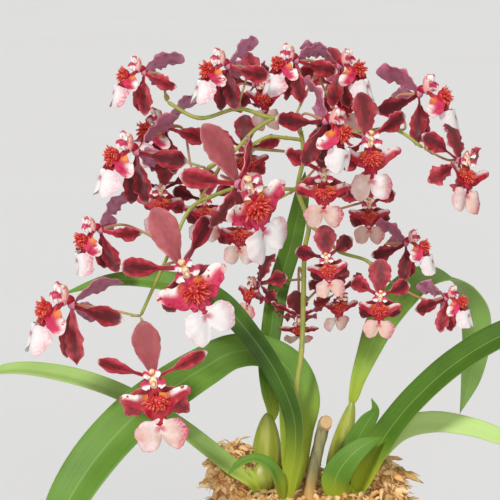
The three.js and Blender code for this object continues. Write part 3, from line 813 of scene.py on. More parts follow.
@dataclass(frozen=True)
class ColumnFinish:
    """A cream column, orange towards its top, with pink sides and an orange-pink cap."""

    body: str = "#f1e4b4"
    upper: str = "#e6a257"
    blush: str = "#dc8a98"
    cap: str = "#df9350"
    crown: str = "#f0dcae"
    freckle: str = "#b5303f"

    def material(self) -> Material:
        """The trait gives how far a part is cap, and the sides of the column are blushed.

        Returns:
            The material.
        """
        g = Graph("column_skin")
        across, along, _ = g.attribute("place")
        cap, _, _ = g.attribute("trait")
        grain = g.noise(900)
        skin = g.layers(
            self.body,
            ((along + grain * 0.5 - 0.25).rise(0.55, 0.9), self.upper),
            ((across.size() + grain * 0.4).rise(0.5, 1.1) * 0.8, self.blush),
            (cap, g.mix((along + grain * 0.6 - 0.3).rise(0.4, 0.8), self.cap, self.crown)),
            (grain.rise(0.58, 0.66) * 0.6, self.freckle),
        )
        return g.finish(0.5, skin, grain * 0.1 + 0.34)


@dataclass(frozen=True)
class WingFinish:
    """Wings of the column: crimson with a white lower edge, or mostly white."""

    red: str = "#c23a58"
    white: str = "#f6e9e6"
    freckle: str = "#c64a68"

    def material(self) -> Material:
        """White along the lower edge and the tip.

        The trait gives how white it is, and on which side its lower edge is.

        Returns:
            The material.
        """
        g = Graph("wing_skin")
        across, along, _ = g.attribute("place")
        white, lower, _ = g.attribute("trait")
        grain = g.noise(900)
        edge = (across * lower + along * 0.7 + grain * 0.5 + white * 1.2).rise(0.75, 1.25)
        skin = g.layers(self.red, (edge, self.white), (grain.rise(0.60, 0.70) * 0.45, self.freckle))
        return g.finish(0.4, skin, grain * 0.1 + 0.4)


@dataclass(frozen=True)
class LeafFinish:
    """Green leaf skin: parallel veins, a pale channel, and a yellow-green base."""

    light: str = "#b6d27e"
    fresh: str = "#7ba443"
    middle: str = "#537a22"
    dark: str = "#20380c"
    base: str = "#b2bf38"
    under: str = "#86a958"
    edge: str = "#a9c46a"
    spot: str = "#6e6a2c"

    def material(self) -> Material:
        """Stripes across the blade, clouds along it, and the base's colour at its foot.

        The trait gives the tone, how yellow the foot is, and how much paler the outer part is.

        Returns:
            The material.
        """
        g = Graph("leaf_skin")
        across, along, front = g.attribute("place")
        tone, yellow, pale = g.attribute("trait")
        vein = g.along((24.0, 0.8, 0.0), 1.0, 1.0)
        cloud = g.noise(60, 4.0)
        outer = pale * along.rise(0.5, 0.75)
        shade = tone * 0.85 + cloud * 0.30 + vein * 0.14 + outer - 0.15
        stops = (0.08, self.dark), (0.36, self.middle), (0.66, self.fresh), (0.98, self.light)
        below = g.mix(shade.rise(-0.1, 0.7), self.middle, self.under)
        skin = g.layers(
            g.mix(front.rise(-0.2, 0.2), below, g.ramp(shade, *stops)),
            ((1 - across.size().rise(0.0, 0.08)) * 0.2, self.light),
            (across.size().rise(0.95, 1.0) * 0.3, self.edge),
            ((1 - along.rise(0.04, 0.34)) * (yellow * 0.5 + 0.5), self.base),
            (g.noise(900, 5.0).rise(0.68, 0.76) * 0.35, self.spot),
        )
        relief = (vein + cloud * 0.15, 0.28, 0.0005)
        rough = cloud * 0.16 + 0.38
        return g.finish(0.2, skin, rough, relief, Coat_Roughness=0.35, Coat_Weight=vein * 0.06)


@dataclass(frozen=True)
class BulbFinish:
    """A shiny yellow-green pseudobulb, greener at its top and brown at its foot."""

    green: str = "#94a036"
    yellow: str = "#b3b44c"
    top: str = "#7f9838"
    foot: str = "#9a7a3c"

    def material(self) -> Material:
        """Streaks along the bulb, which are its faint ridges too.

        Returns:
            The material.
        """
        g = Graph("bulb_skin")
        _, along, _ = g.attribute("place")
        streak = g.noise(150, stretch=(3.0, 3.0, 0.35))
        skin = g.layers(
            self.green,
            (streak.rise(0.35, 0.65), self.yellow),
            (along.rise(0.7, 1.0) * 0.6, self.top),
            ((1 - along.rise(0.0, 0.16)) * 0.7, self.foot),
        )
        return g.finish(0.5, skin, streak * 0.15 + 0.3, (streak, 0.3, 0.0006))


@dataclass(frozen=True)
class StemFinish:
    """Yellow-green stem, turning tan-pink along the pedicels."""

    green: str = "#a5a84c"
    streak: str = "#829040"
    tan: str = "#c09468"
    red: str = "#a8605a"

    def material(self) -> Material:
        """The second number of the trait is how much of the pedicel's colour a bar takes.

        Returns:
            The material.
        """
        g = Graph("stem_skin")
        _, along, _ = g.attribute("place")
        _, blush, _ = g.attribute("trait")
        streak = g.noise(500, stretch=(1.0, 1.0, 0.4))
        green = g.mix(streak.rise(0.4, 0.7) * 0.6, self.green, self.streak)
        pink = g.mix(along.rise(0.3, 1.0) * 0.6, self.tan, self.red)
        skin = g.mix(blush * along.rise(0.0, 0.3), green, pink)
        return g.finish(0.45, skin, streak * 0.15 + 0.38, (streak, 0.2, 0.0003))


@dataclass(frozen=True)
class MossFinish:
    """Dry moss, from straw to dark brown, with some strands still green."""

    straw: str = "#fbdba6"
    brown: str = "#e2ad6c"
    dark: str = "#936438"
    green: str = "#a09a52"

    def material(self) -> Material:
        """Each strand has its own tone, broken by noise.

        Returns:
            The material.
        """
        g = Graph("moss_fibre")
        tone, green, _ = g.attribute("trait")
        grain = g.noise(900, 5.0)
        stops = (0.2, self.dark), (0.45, self.brown), (0.8, self.straw)
        dry = g.ramp(tone * 0.45 + grain * 0.5 + 0.2, *stops)
        skin = g.mix(green.rise(0.75, 1.0) * 0.5, dry, self.green)
        return g.finish(0.2, skin, grain * 0.1 + 0.82, (grain, 0.6, 0.0006))


@dataclass(frozen=True)
class CaneFinish:
    """Old grey-brown bark; orange-brown low down, painted paler there than its own colour as
    painted light against the shade of the leaves over it; and a pale cut end with rings.
    """

    bark: str = "#8d8a60"
    fibre: str = "#64563e"
    # the foot's orange-brown, made paler than its own colour: painted light against the leaves'
    # shade there
    low: str = "#e2b066"
    cut: str = "#cca97c"
    ring: str = "#b98350"
    rings: float = 24.0

    def material(self) -> Material:
        """The third number of the trait marks the cut end.

        Returns:
            The material.
        """
        g = Graph("cane_bark")
        across, along, up = g.attribute("place")
        _, _, cut = g.attribute("trait")
        fibre = g.noise(600, 4.0, (1.0, 1.0, 0.12))
        ring = ((across * across + up * up).math("SQRT") * self.rings).math("SINE")
        skin = g.layers(
            self.bark,
            (fibre.rise(0.4, 0.66) * 0.7, self.fibre),
            # the low part: real orange-brown, plus painted light that offsets the shade of the
            # leaves over it
            (1 - along.rise(0.25, 0.65), self.low),
            (cut, g.mix(ring.rise(-0.2, 1.0) * 0.4, self.cut, self.ring)),
        )
        return g.finish(0.25, skin, fibre * 0.15 + 0.68, (fibre, 0.6, 0.0008))


@dataclass(frozen=True)
class ClayFinish:
    """Unglazed clay with turning lines and chalky marks."""

    clay: str = "#b5694a"
    dark: str = "#8f4a33"
    chalk: str = "#d9b8a2"
    speck: str = "#7b3f2b"

    def material(self) -> Material:
        """Wide clouds, fine grain, lines round the pot, and chalk in patches.

        Returns:
            The material.
        """
        g = Graph("pot_clay")
        cloud, grain = g.noise(22, 5.0), g.noise(1400)
        lines = g.noise(500, 2.0, (0.02, 0.02, 1.0))
        skin = g.layers(
            self.clay,
            ((cloud * 0.85 + lines * 0.16).rise(0.40, 0.66), self.dark),
            (g.noise(34, 6.0, (1, 1, 1.6)).rise(0.54, 0.72) * 0.55, self.chalk),
            (grain.rise(0.66, 0.74) * 0.35, self.speck),
        )
        return g.finish(0.25, skin, cloud * 0.12 + 0.78, (grain * 0.5 + lines, 0.35, 0.0005))


@dataclass(frozen=True)
class FloorFinish:
    """A plain pale floor."""

    tone: str = "#f5f4f2"
    cloud: str = "#f0eeeb"

    def material(self) -> Material:
        """A faint cloud over one pale tone.

        Returns:
            The material.
        """
        g = Graph("floor_paint")
        skin = g.mix(g.noise(1.5).rise(0.3, 0.7) * 0.2, self.tone, self.cloud)
        return g.finish(0.2, skin, 0.85)


# ---- model


@dataclass
class Model:
    """What has been made so far."""

    pieces: list[Thing] = field(default_factory=list)

    def add(
        self,
        name: str,
        parts: Sequence[Shell],
        materials: Sequence[Material],
        slot: Slot,
        nodes: Sequence[str],
    ) -> Thing:
        """Makes one piece from closed surfaces.

        Args:
            name: the piece's name.
            parts: its surfaces, in millimetres.
            materials: its finishes, by zone.
            slot: not used.
            nodes: the nodes that it stands for.

        Returns:
            The piece, on the root body.
        """
        mesh = joined(name, parts)
        counts = [len(part.quads) + len(part.tris) for part in parts]
        zones = np.repeat([part.zone for part in parts], counts).astype(np.int32)
        mesh.polygons.foreach_set("material_index", zones)
        mesh.polygons.foreach_set("use_smooth", np.ones(len(zones), bool))
        for key in ("place", "trait"):
            layer = mesh.attributes.new(key, "FLOAT_VECTOR", "POINT")
            values = np.vstack([getattr(part, key) for part in parts])
            layer.data.foreach_set("vector", values.astype(np.float32).ravel())
        for material in materials:
            mesh.materials.append(material)
        mesh.update()
        piece = linked(name, mesh)
        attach(piece, "root")
        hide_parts(*nodes)
        self.pieces.append(piece)
        LOG.info("%s: %d faces for %s", name, len(zones), ", ".join(nodes))
        return piece


# ---- blooms


@dataclass(frozen=True)
class Place:
    """Where one bloom is and how it is held, as in the driving table of the part.

    In degrees, yaw turns it to one side, nod turns it up or down, roll turns it about the line that
    it faces along, and sweep is how far its tepals lean back. side marks one that shows its side,
    and back a rear one, which is one node. Its pedicel leaves the stem near start and runs by via.
    """

    at: Trio
    yaw: float
    nod: float
    roll: float
    scale: float
    sweep: float
    side: bool
    start: Trio
    via: Trio | None = None
    back: bool = False

    def turn(self) -> Array:
        """The turn matrix: roll about the facing line, then nod, then yaw.

        Returns:
            The matrix.
        """
        turns = (math.radians(angle) for angle in (self.yaw, self.nod, self.roll))
        (cy, sy), (cn, sn), (cr, sr) = ((math.cos(turn), math.sin(turn)) for turn in turns)
        about_z = np.array([[cy, -sy, 0], [sy, cy, 0], [0, 0, 1]])
        about_x = np.array([[1, 0, 0], [0, cn, -sn], [0, sn, cn]])
        about_y = np.array([[cr, 0, sr], [0, 1, 0], [-sr, 0, cr]])
        return about_z @ about_x @ about_y


def side_bloom(
    at: Trio, yaw: float, nod: float, scale: float, start: Trio, via: Trio | None = None
) -> Place:
    """A bloom turned to one side, whose tepals lean back the most."""
    return Place(at, yaw, nod, 0, scale, 58, True, start, via)


def front_bloom(
    at: Trio, yaw: float, nod: float, roll: float, scale: float, sweep: float, start: Trio,
    via: Trio | None = None, back: bool = False,
) -> Place:
    """A bloom that faces the front, or a rear one."""
    return Place(at, yaw, nod, roll, scale, sweep, False, start, via, back)


PLACES = (
    side_bloom((-47, -5, 199), -75, -8, 0.7, (-40, -5, 191)),
    side_bloom((-24, -9, 201), -65, -8, 0.75, (-20.5, -5, 189)),
    front_bloom((-15, 18, 194), 40, 0, 0, 0.68, 35, (-20, -5, 189), back=True),
    side_bloom((-5, 1, 202), -60, -8, 0.72, (-5, -2, 185.5)),
    side_bloom((9, 10, 200), 60, -8, 0.74, (10, 2, 181)),
    front_bloom((9, 22, 193), 30, 0, 0, 0.7, 30, (14, 1.5, 182), (6, 28, 178), True),
    side_bloom((32, 12, 192), 75, -8, 0.86, (23, -2, 183), (27, 12, 183)),
    front_bloom((41, -10, 175), 40, 0, 15, 0.75, 30, (31, -4, 178)),
    side_bloom((-42, 9, 183), -50, -8, 0.82, (-22, -9, 177), (-33, 11, 170)),
    side_bloom((-49, -14, 178), -65, -8, 0.87, (-29, -9, 173)),
    front_bloom((-42, 11.5, 164.5), -10, 10, 0, 0.65, 25, (-29, -9, 173), (-32, 19, 166)),
    front_bloom((-18, 13, 176), 0, 0, 0, 0.62, 20, (-18, -5, 178.5), (-6, 17, 175), True),
    front_bloom((-19, -35, 171), 45, 15, -25, 1.03, 35, (-20, -12, 168)),
    side_bloom((4, -26, 187), 55, 15, 0.79, (-3, -1, 182)),
    front_bloom((15, -12, 181), 20, 10, 0, 0.83, 25, (14, 1.5, 182)),
    front_bloom((3, -16, 172), 0, 20, 0, 0.72, 20, (-4, 0, 166)),
    front_bloom((17, 15, 160), 0, 0, 0, 0.58, 30, (-1, 1, 158), back=True),
    front_bloom((-30, 15, 161), 0, 0, 0, 0.6, 25, (-31, -17, 165), (-25, 20, 171.5), True),
    front_bloom((-20, 12, 155), 0, 0, 0, 0.6, 25, (-4, 0, 166), back=True),
    side_bloom((-59, -12, 156), -65, 10, 0.74, (-38, -20.5, 153)),
    front_bloom((-35, -30, 148), 20, 10, -25, 1.01, 25, (-41, -21, 148)),
    side_bloom((-67, -15, 136), -70, -8, 0.96, (-47, -17, 133)),
    front_bloom((-43, -25, 117), 0, 5, -9, 0.96, 15, (-47, -17, 133)),
    front_bloom((-15, 16, 137), -60, 0, 0, 0.56, 40, (-2, 0, 141), back=True),
    front_bloom((4, -10, 148), 0, 5, -8, 0.54, 20, (1.5, 2, 154)),
    front_bloom((8, 3, 136), 30, 30, 0, 0.54, 25, (-2, 0, 134)),
    front_bloom((-3, 10, 128), 0, 60, 0, 0.55, 25, (-2, 0, 141), (-3, 12, 142), True),
    front_bloom((19, -8, 137), 0, 5, 3, 0.58, 20, (18, -3, 143)),
    side_bloom((28, 7, 150), 70, -8, 0.64, (16, -2, 146), (22, 6, 141.5)),
    side_bloom((39, 2, 135), 60, -8, 0.58, (18, -3, 143)),
)


@dataclass(frozen=True)
class Wing:
    """A wing of the column's right side.

    Attributes:
        root: where it starts, from the column's middle.
        way: its reach.
        edge: the way to its edge.
        half: its half width.
        white: how white it is.
    """

    root: Trio
    way: Trio
    edge: Trio
    half: float
    white: float


@dataclass(frozen=True)
class Pose:
    """How a bloom of scale 1 holds its parts.

    Attributes:
        petals: how far the petals stand from the top, in degrees.
        laterals: the same for the lateral sepals.
        lateral_length: their length, as a share.
        lateral_sweep: their share of the bloom's sweep.
        dorsal_twist: how far the dorsal sepal turns its broad face, in degrees.
        lateral_twist: the same for the lateral sepals.
        lateral_width: their width, as a share.
        curl: how far the tepals twist along their length, in degrees.
        lip: how far the callus and the mid lobe are moved.
        neck: where the neck of the lip starts.
        fold: how far back the outer edges of the mid lobe are folded, in degrees.
        column: the middle of the column.
        tall: half the column's height.
        wings: the wings of the column's right side.
        reach: how far out the side lobes end.
        drops: how far down their middle line runs, from the middle of the lip to their ends.
        halves: their half widths, from the middle of the lip to their ends.
        ahead: how far forward their middle line starts, and how much further its ends are.
        tilt: how far forward their lower edge stands, over how far down.
        pink: how pink they are.
    """

    petals: float
    laterals: float
    lateral_length: float
    lateral_sweep: float
    dorsal_twist: float
    lateral_twist: float
    lateral_width: float
    curl: float
    lip: Trio
    neck: Trio
    fold: float
    column: Trio
    tall: float
    wings: tuple[Wing, Wing]
    reach: float
    drops: tuple[float, ...]
    halves: tuple[float, ...]
    ahead: Pair
    tilt: float
    pink: float


FRONT = Pose(
    petals=68, laterals=142, lateral_length=1, lateral_sweep=0.6, dorsal_twist=0, lateral_twist=0,
    lateral_width=1, curl=25, lip=(0, 0, 0), neck=(0, -1.9, -0.4), fold=0, column=(0, -2, 0.9),
    tall=3.5,
    wings=(
        Wing((0.8, -0.8, -1.2), (2.7, -1.1, -0.6), (0.1, -0.35, -1.0), 1.5, 0.22),
        Wing((0.6, -1.0, 1.0), (1.9, -1.2, 0.6), (0.1, -0.4, -1.0), 1.25, 0.6),
    ),
    reach=10.4, drops=(6.6, 5.9, 5.2, 4.2, 3.1, 2.9), halves=(4.2, 3.3, 2.4, 1.85, 1.75, 1.6),
    ahead=(3.9, 1.0), tilt=0.32, pink=0.1,
)
SIDE = Pose(
    petals=100, laterals=160, lateral_length=1.2, lateral_sweep=0.1, dorsal_twist=45,
    lateral_twist=60, lateral_width=0.86, curl=45, lip=(0, -2, 3.6), neck=(0, -1.2, 1), fold=40,
    column=(0, -1.6, 2.6), tall=3.4,
    wings=(
        Wing((0.9, -0.3, -0.7), (0.9, -3.0, -0.8), (0.3, -0.3, -1.0), 1.7, 0.35),
        Wing((0.8, -0.3, 1.2), (0.9, -2.4, 0.9), (0.3, 0.3, -1.0), 1.5, 0.8),
    ),
    reach=9.6, drops=(1.8, 2.8, 4.1, 5.4, 6.5, 7.4), halves=(2.3, 2.4, 2.6, 2.8, 2.6, 2.0),
    ahead=(4.8, -1.4), tilt=1.8, pink=0.75,
)


@dataclass(frozen=True)
class Outline:
    """The outline of a tepal.

    Its half width is widest times the sine of pi u to the power peak, raised to fullness, where u
    runs from 0 at start to 1 at the tip. Under it runs a claw.
    """

    length: float
    widest: float
    peak: float
    fullness: float
    claw: float
    start: float = 0.0

    def width(self, t: Array) -> Array:
        """Half width along the blade, never under the claw's save at the two ends.

        Args:
            t: places along the blade, from 0 to 1.

        Returns:
            The half width at each.
        """
        u = np.clip((t - self.start) / (1 - self.start), 0, 1)
        body = self.widest * np.sin(np.pi * u**self.peak) ** self.fullness
        return np.hypot(body, self.claw * np.sqrt(np.maximum(1 - (2 * t - 1) ** 8, 0)))


@dataclass(frozen=True)
class Stance:
    """How one tepal stands.

    Attributes:
        angle: degrees from the top.
        share: its length, as a share of its outline's.
        lean: how far it leans back, in degrees.
        wave: how far its edges wave.
        twist: how far it is turned about its own axis, in degrees.
        ruffle: how strong its ruffles are, as a share.
        curl: how much further it is turned towards its tip, in degrees.
        girth: its width, as a share of its outline's.
    """

    angle: float
    share: float
    lean: float
    wave: float
    twist: float
    ruffle: float
    curl: float
    girth: float


@dataclass
class Bloom:
    """One bloom: five tepals round a hub, and a lip with its callus and column.

    Its number sets how it varies. rows and columns are those of a tepal, and tepal_depth is half
    its thickness. Over the ceiling the dorsal sepal is short, to stay under the top of the box.
    The tepals start as far back as the hub is deep. neck_end, lobes and crest are where the neck
    of the lip ends, where its two lobes meet and where the middle of the callus is.
    """

    number: int
    place: Place
    dorsal: Outline = Outline(17, 3.8, 1.55, 0.66, 0.7)
    petal: Outline = Outline(17, 2.8, 1.2, 0.75, 0.55, 0.34)
    lateral: Outline = Outline(14.5, 2.9, 1.15, 0.75, 0.6, 0.2)
    rows: int = 30
    columns: int = 20
    tepal_depth: float = 0.3
    ceiling: float = 200
    hub: Trio = (1.4, 1.5, 1.4)
    neck_end: Trio = (0, -5.8, -12.0)
    lobes: Trio = (0, -6.3, -14.2)
    crest: Trio = (0.2, -4.8, -5.6)
    fingers: int = 46

    @property
    def pose(self) -> Pose:
        """How this bloom holds its parts."""
        return SIDE if self.place.side else FRONT

    @property
    def large(self) -> bool:
        """Whether it is one of the two largest, whose lips are whiter and hang in a broad drape."""
        return self.place.scale > 1

    @property
    def near(self) -> bool:
        """Whether it is one of the larger ones, which are smoother and rosier."""
        return self.place.scale > 0.9

    def vary(self, trait: float) -> float:
        """A number from -1 to 1 that varies one trait of this bloom."""
        return math.sin(1.7 * self.number + 2.3 * trait)

    def tepal(self, form: Outline, stance: Stance, ripple: float, look: Numbers) -> Shell:
        """One tepal: it leaves the hub at its angle from the top and leans back more and more.

        Its edges tilt in one wave, and rise and fall by two sines that grow with the square and the
        fourth power of the way across. It is cupped, with a crease along its rib.

        Args:
            form: its outline.
            stance: how it stands.
            ripple: a number that sets its ripple.
            look: three numbers for its finish.

        Returns:
            The tepal.
        """
        turn, lean = math.radians(stance.angle), math.radians(stance.lean)
        length = form.length * stance.share
        t = ease(self.rows)
        outward = np.array([math.sin(turn), 0, math.cos(turn)])
        back = self.hub[1] + length * math.sin(lean) * t * (0.45 + 0.55 * t)
        out = length * t * np.cos(lean * (1 + t) / 2)
        rib = out[:, None] * outward + back[:, None] * BACK
        spin = np.radians(stance.twist + stance.curl * (t**2 - 0.3))[:, None]
        axis = unit(rib[-1] - rib[0])
        level = np.array([math.cos(turn), 0, -math.sin(turn)])
        side = level * np.cos(spin) + np.cross(axis, level) * np.sin(spin)
        side = side + axis * (axis @ level) * (1 - np.cos(spin))
        uneven = 0.06 * cycle(3.3, t, ripple) + 0.045 * cycle(7.1, t, 2 * ripple)
        width = stance.girth * form.width(t) * (1 + stance.ruffle * uneven)
        s, w, u = axes(self.columns, width, t)
        strong = stance.ruffle * w
        lift = (
            -0.5 * stance.wave * cycle(1.1, u) * s
            + 0.22 * strong * s**2 * cycle(2.4, u, 2.1 * s + ripple)
            + 0.16 * strong * s**4 * cycle(5.7, u, 2.9 * s + 2 * ripple)
            - 0.16 * w * s**2 * np.cos(2.6 * u)
            - 0.12 * bell(s, 0.14) * np.sin(np.pi * u)
        )
        thick = self.tepal_depth * np.sin(np.pi * t) ** 0.4 / self.place.scale**0.5
        return blade(rib, side, width, lift, thick, t, look)

    def tepals(self) -> list[Shell]:
        """The five tepals and the hub. The smaller a bloom, the fuller and the more ruffled.

        Returns:
            The five tepals, then the hub.
        """
        vary, bloom, pose = self.vary, self.place, self.pose
        hand = math.copysign(1, bloom.yaw) if bloom.yaw else 0
        ruffle = 0.6 if self.near else 1.15
        rosy, dusky = (0.9, 0.35) if self.near else (0.35, 0.2)
        small, smallest = float(step(0.95, 0.75, bloom.scale)), float(step(0.64, 0.56, bloom.scale))
        girth = 1.05 + 0.17 * small + 0.28 * smallest
        slim = girth * (0.8 if bloom.sweep < 18 else 1.0)
        crown = 0.85 if bloom.at[2] > self.ceiling else 1.0

        def lean(trait: int) -> float:
            """The sweep of one tepal."""
            return bloom.sweep * (1 + 0.22 * vary(trait))

        def share(trait: int) -> float:
            """The length of one tepal, as a share."""
            return 1 + 0.06 * vary(trait)

        def petal(side: int, trait: int, order: int) -> Shell:
            """The petal of one side.

            Args:
                side: -1 on the left and 1 on the right.
                trait: a number that it varies by.
                order: a second number that it varies by.

            Returns:
                The petal.
            """
            stance = Stance(
                side * pose.petals + 7 * vary(trait), share(trait + 1), 0.8 * lean(trait + 2),
                -side, 0, ruffle, pose.curl * vary(order), slim,
            )
            look = (vary(trait), 0.12, 0.9)
            return self.tepal(self.petal, stance, 3 * vary(order + 3), look)

        def lateral(side: int, trait: int, order: int) -> Shell:
            """The lateral sepal of one side.

            Args:
                side: -1 on the left and 1 on the right.
                trait: a number that it varies by.
                order: a second number that it varies by.

            Returns:
                The sepal.
            """
            curl = pose.curl * (1.2 + 0.6 * vary(trait + 3)) * hand
            stance = Stance(
                side * pose.laterals + 6 * vary(trait), pose.lateral_length,
                pose.lateral_sweep * lean(trait + 1), vary(trait + 2), hand * pose.lateral_twist,
                1.5, curl, girth * pose.lateral_width,
            )
            look = (vary(trait), dusky, 0.25)
            return self.tepal(self.lateral, stance, 3 * vary(order), look)

        top = Stance(
            7 * vary(1), crown * share(2), lean(3), vary(4), hand * pose.dorsal_twist,
            0.7 * ruffle, 0.5 * pose.curl * vary(17), girth,
        )
        return [
            self.tepal(self.dorsal, top, 3 * vary(20), (vary(4), rosy, 0.1)),
            petal(-1, 5, 18),
            petal(1, 8, 19),
            lateral(-1, 11, 23),
            lateral(1, 14, 24),
            egg((0, self.hub[1], 0), self.hub, 10, 12),
        ]

    def neck(self) -> Shell:
        """The red neck of the lip: a thick blade from under the column to the mid lobe.

        Returns:
            The neck.
        """
        t = ease(14)
        start = np.array(self.pose.neck)
        rib = start + t[:, None] * (np.array(self.neck_end) + self.pose.lip - start)
        side = np.broadcast_to([-1.0, 0, 0], rib.shape)
        half, pink = (3.4, 0.7) if self.large else (2.6, 0.1)
        width = half * np.sin(np.pi * t) ** 0.3
        s, w, _ = axes(14, width, t)
        lift, thick = 0.12 * w * np.abs(s), 0.62 - 0.3 * t
        return blade(rib, side, width, lift, thick, t, (0, pink, 1), LipZone.SIDE_LOBES)

    def side_lobes(self) -> Shell:
        """The side lobes and the neck between them, as one waved sheet across the lip.

        u runs from -1 at its left end to 1 at its right one. The height of its middle line and its
        half width are read from the pose at the size of u, and its ends are rounded off.

        Returns:
            The sheet.
        """
        pose, n = self.pose, self.number
        t = ease(49, 0.3)
        u = 2 * t - 1
        share = np.abs(u)
        height = 0.2 * np.sin(7 * u + n) - smooth_values(pose.drops, share)
        ahead = 0.4 * self.large - pose.ahead[0] - pose.ahead[1] * share**2
        rib = grid(pose.reach * u, ahead, height)
        side = np.broadcast_to([0, -pose.tilt, -1.0], rib.shape)
        frill = 1 + 0.06 * np.sin(17 * u + n)
        drape = 1 + 0.45 * self.large * step(0.1, 0.4, share) * step(1, 0.7, share)
        ends = np.sqrt(np.maximum(1 - share**9, 0))
        width = drape * smooth_values(pose.halves, share) * ends * frill
        s, w, v = axes(20, width, u)
        lift = (
            0.22 * w * s**2
            + 0.14 * w * s * np.sin(9 * v + n)
            + 0.1 * w * s**3 * np.sin(19 * v)
        )
        plain = 0.0 if self.place.side or self.near else 0.35
        look = (self.vary(31), 0.7 if self.large else pose.pink, plain)
        return blade(rib, side, width, lift, 0.34, t, look, LipZone.SIDE_LOBES)

    def mid_lobe(self) -> Shell:
        """The mid lobe: one waved sheet with the outline of two round lobes, joined at the top.

        From a middle point, each ray runs to the furthest edge of three ellipses: one for each lobe
        and one that fills the gap over them. The sheet is that reach times the sine of an angle,
        whose cosine lifts the front off the back. Turned to one side, its halves are folded back.

        Returns:
            The sheet.
        """
        columns, rows, n = 72, 24, self.number
        cosine, sine = loop(columns)

        def far(x: float, z: float, wide: float, high: float) -> Array:
            """How far each ray runs to the far side of an ellipse, or 0 where it misses it.

            Args:
                x: the middle of the ellipse, across.
                z: its middle, in height.
                wide: half its width.
                high: half its height.

            Returns:
                The distance along each ray.
            """
            square = cosine**2 / wide**2 + sine**2 / high**2
            half = cosine * x / wide**2 + sine * z / high**2
            rest = half**2 + square * (1 - x**2 / wide**2 - z**2 / high**2)
            return np.where(rest > 0, (half + np.sqrt(np.maximum(rest, 0))) / square, 0)

        spread, rise, edge = 3.75, 1.8, 7.9
        left = (-3.4, -2.2, 3.5, 4.9) if self.large else (-spread, -rise, 3.8, 4.4)
        right, gap = (spread, -rise, 3.8, 4.4), (0, 0.3, 3.3, 2.4)
        reach = np.max([far(*right), far(*left), far(*gap)], axis=0)
        angle = np.linspace(0, np.pi, rows)[:, None]
        out, front = np.sin(angle), np.cos(angle)
        bearing = np.arctan2(sine, cosine)
        frill = 1 + out**6 * (0.03 * np.sin(9 * bearing + n) + 0.015 * np.sin(23 * bearing))
        x, z = reach * out * cosine * frill, reach * out * sine * frill
        wave = 0.42 * np.sin(5 * bearing + 0.9 * n) + 0.16 * np.sin(13 * bearing + n)
        hump = 0.6 * np.cos(np.abs(x) * 0.8 - 3.1) - 0.7 * bell(x, 1.1) * step(2, -3, z)
        fold = math.radians(self.pose.fold)
        folded = (np.sqrt(x**2 + 0.4) - spread) * math.sin(fold) if fold else 0.0
        y = folded - 0.3 * front + out**3 * wave - hump + z * math.sin(math.radians(8))
        points = grid(x * (0.88 if fold else 1), y, z + rise) + self.lobes + self.pose.lip
        warmth = -1.0 if self.place.side or self.large else 0.9 + 0.3 * self.vary(32)
        look = (self.vary(30), warmth, 1.0)
        return shells(points, grid(x / edge, out, front), look, LipZone.MID_LOBE)

    def callus(self) -> list[Shell]:
        """The crest: a dome, and fingers that stand out of it in turns of the golden angle.

        Finger k stands at the golden angle times k, and the square root of k over the count sets
        how far out it stands. Each is a thin bent cone with a round tip, and curls up or down by a
        sine. The crest is wider at its top. On the smaller blooms that face the front it is low
        and wide.

        Returns:
            The dome, then the fingers.
        """
        centre = np.array(self.crest) + self.pose.lip
        size, wide, tall = (0.7, 1.25, 0.75)
        if self.place.side or self.large:
            size, wide, tall = (1.0, 1.25 if self.large else 1.0, 0.9)
        zone = LipZone.CALLUS
        dome = egg(centre + 0.7 * BACK, (2.7 * wide, 1.6, 2.8 * tall), 9, 16, -0.15, zone=zone)
        dome.place[:, 1] = 0.1
        k = np.arange(self.fingers)
        bearing = GOLDEN_ANGLE * k + self.number
        out = np.sqrt((k + 0.5) / self.fingers)
        spread = wide * (1 + 0.35 * np.sin(bearing))
        level = grid(np.cos(bearing) * spread, 0, tall * np.sin(bearing))
        foot = centre + 2.4 * out[:, None] * level - grid(0, 0.8 - 1.2 * out**2, 0)
        way = unit(1.5 * out[:, None] * level - grid(0, 1.25 - 0.65 * out, 0.3))
        length = size * (2.3 - 0.3 * out + 0.8 * np.sin(3.1 * k + self.number))
        t = np.linspace(0, 1, 7)
        curl = 1.3 * size * np.sin(2.0 * k + 0.7 * self.number)[:, None] * t**2
        rib = foot[:, None] + way[:, None] * (length[:, None] * (t - 0.1))[..., None]
        rib = rib + curl[..., None] * np.cross(way, [0.0, 1.0, 0.2])[:, None]
        thick = 0.47 * (1 - 0.45 * t) * np.sqrt(np.maximum(1 - t**5, 0))
        thick[0] = 0
        tones = grid(np.sin(5.3 * k), 0, 0)
        return [dome, bars(rib, way, (0.3, 0.2, 0.9), thick[None], 6, tones, zone)]

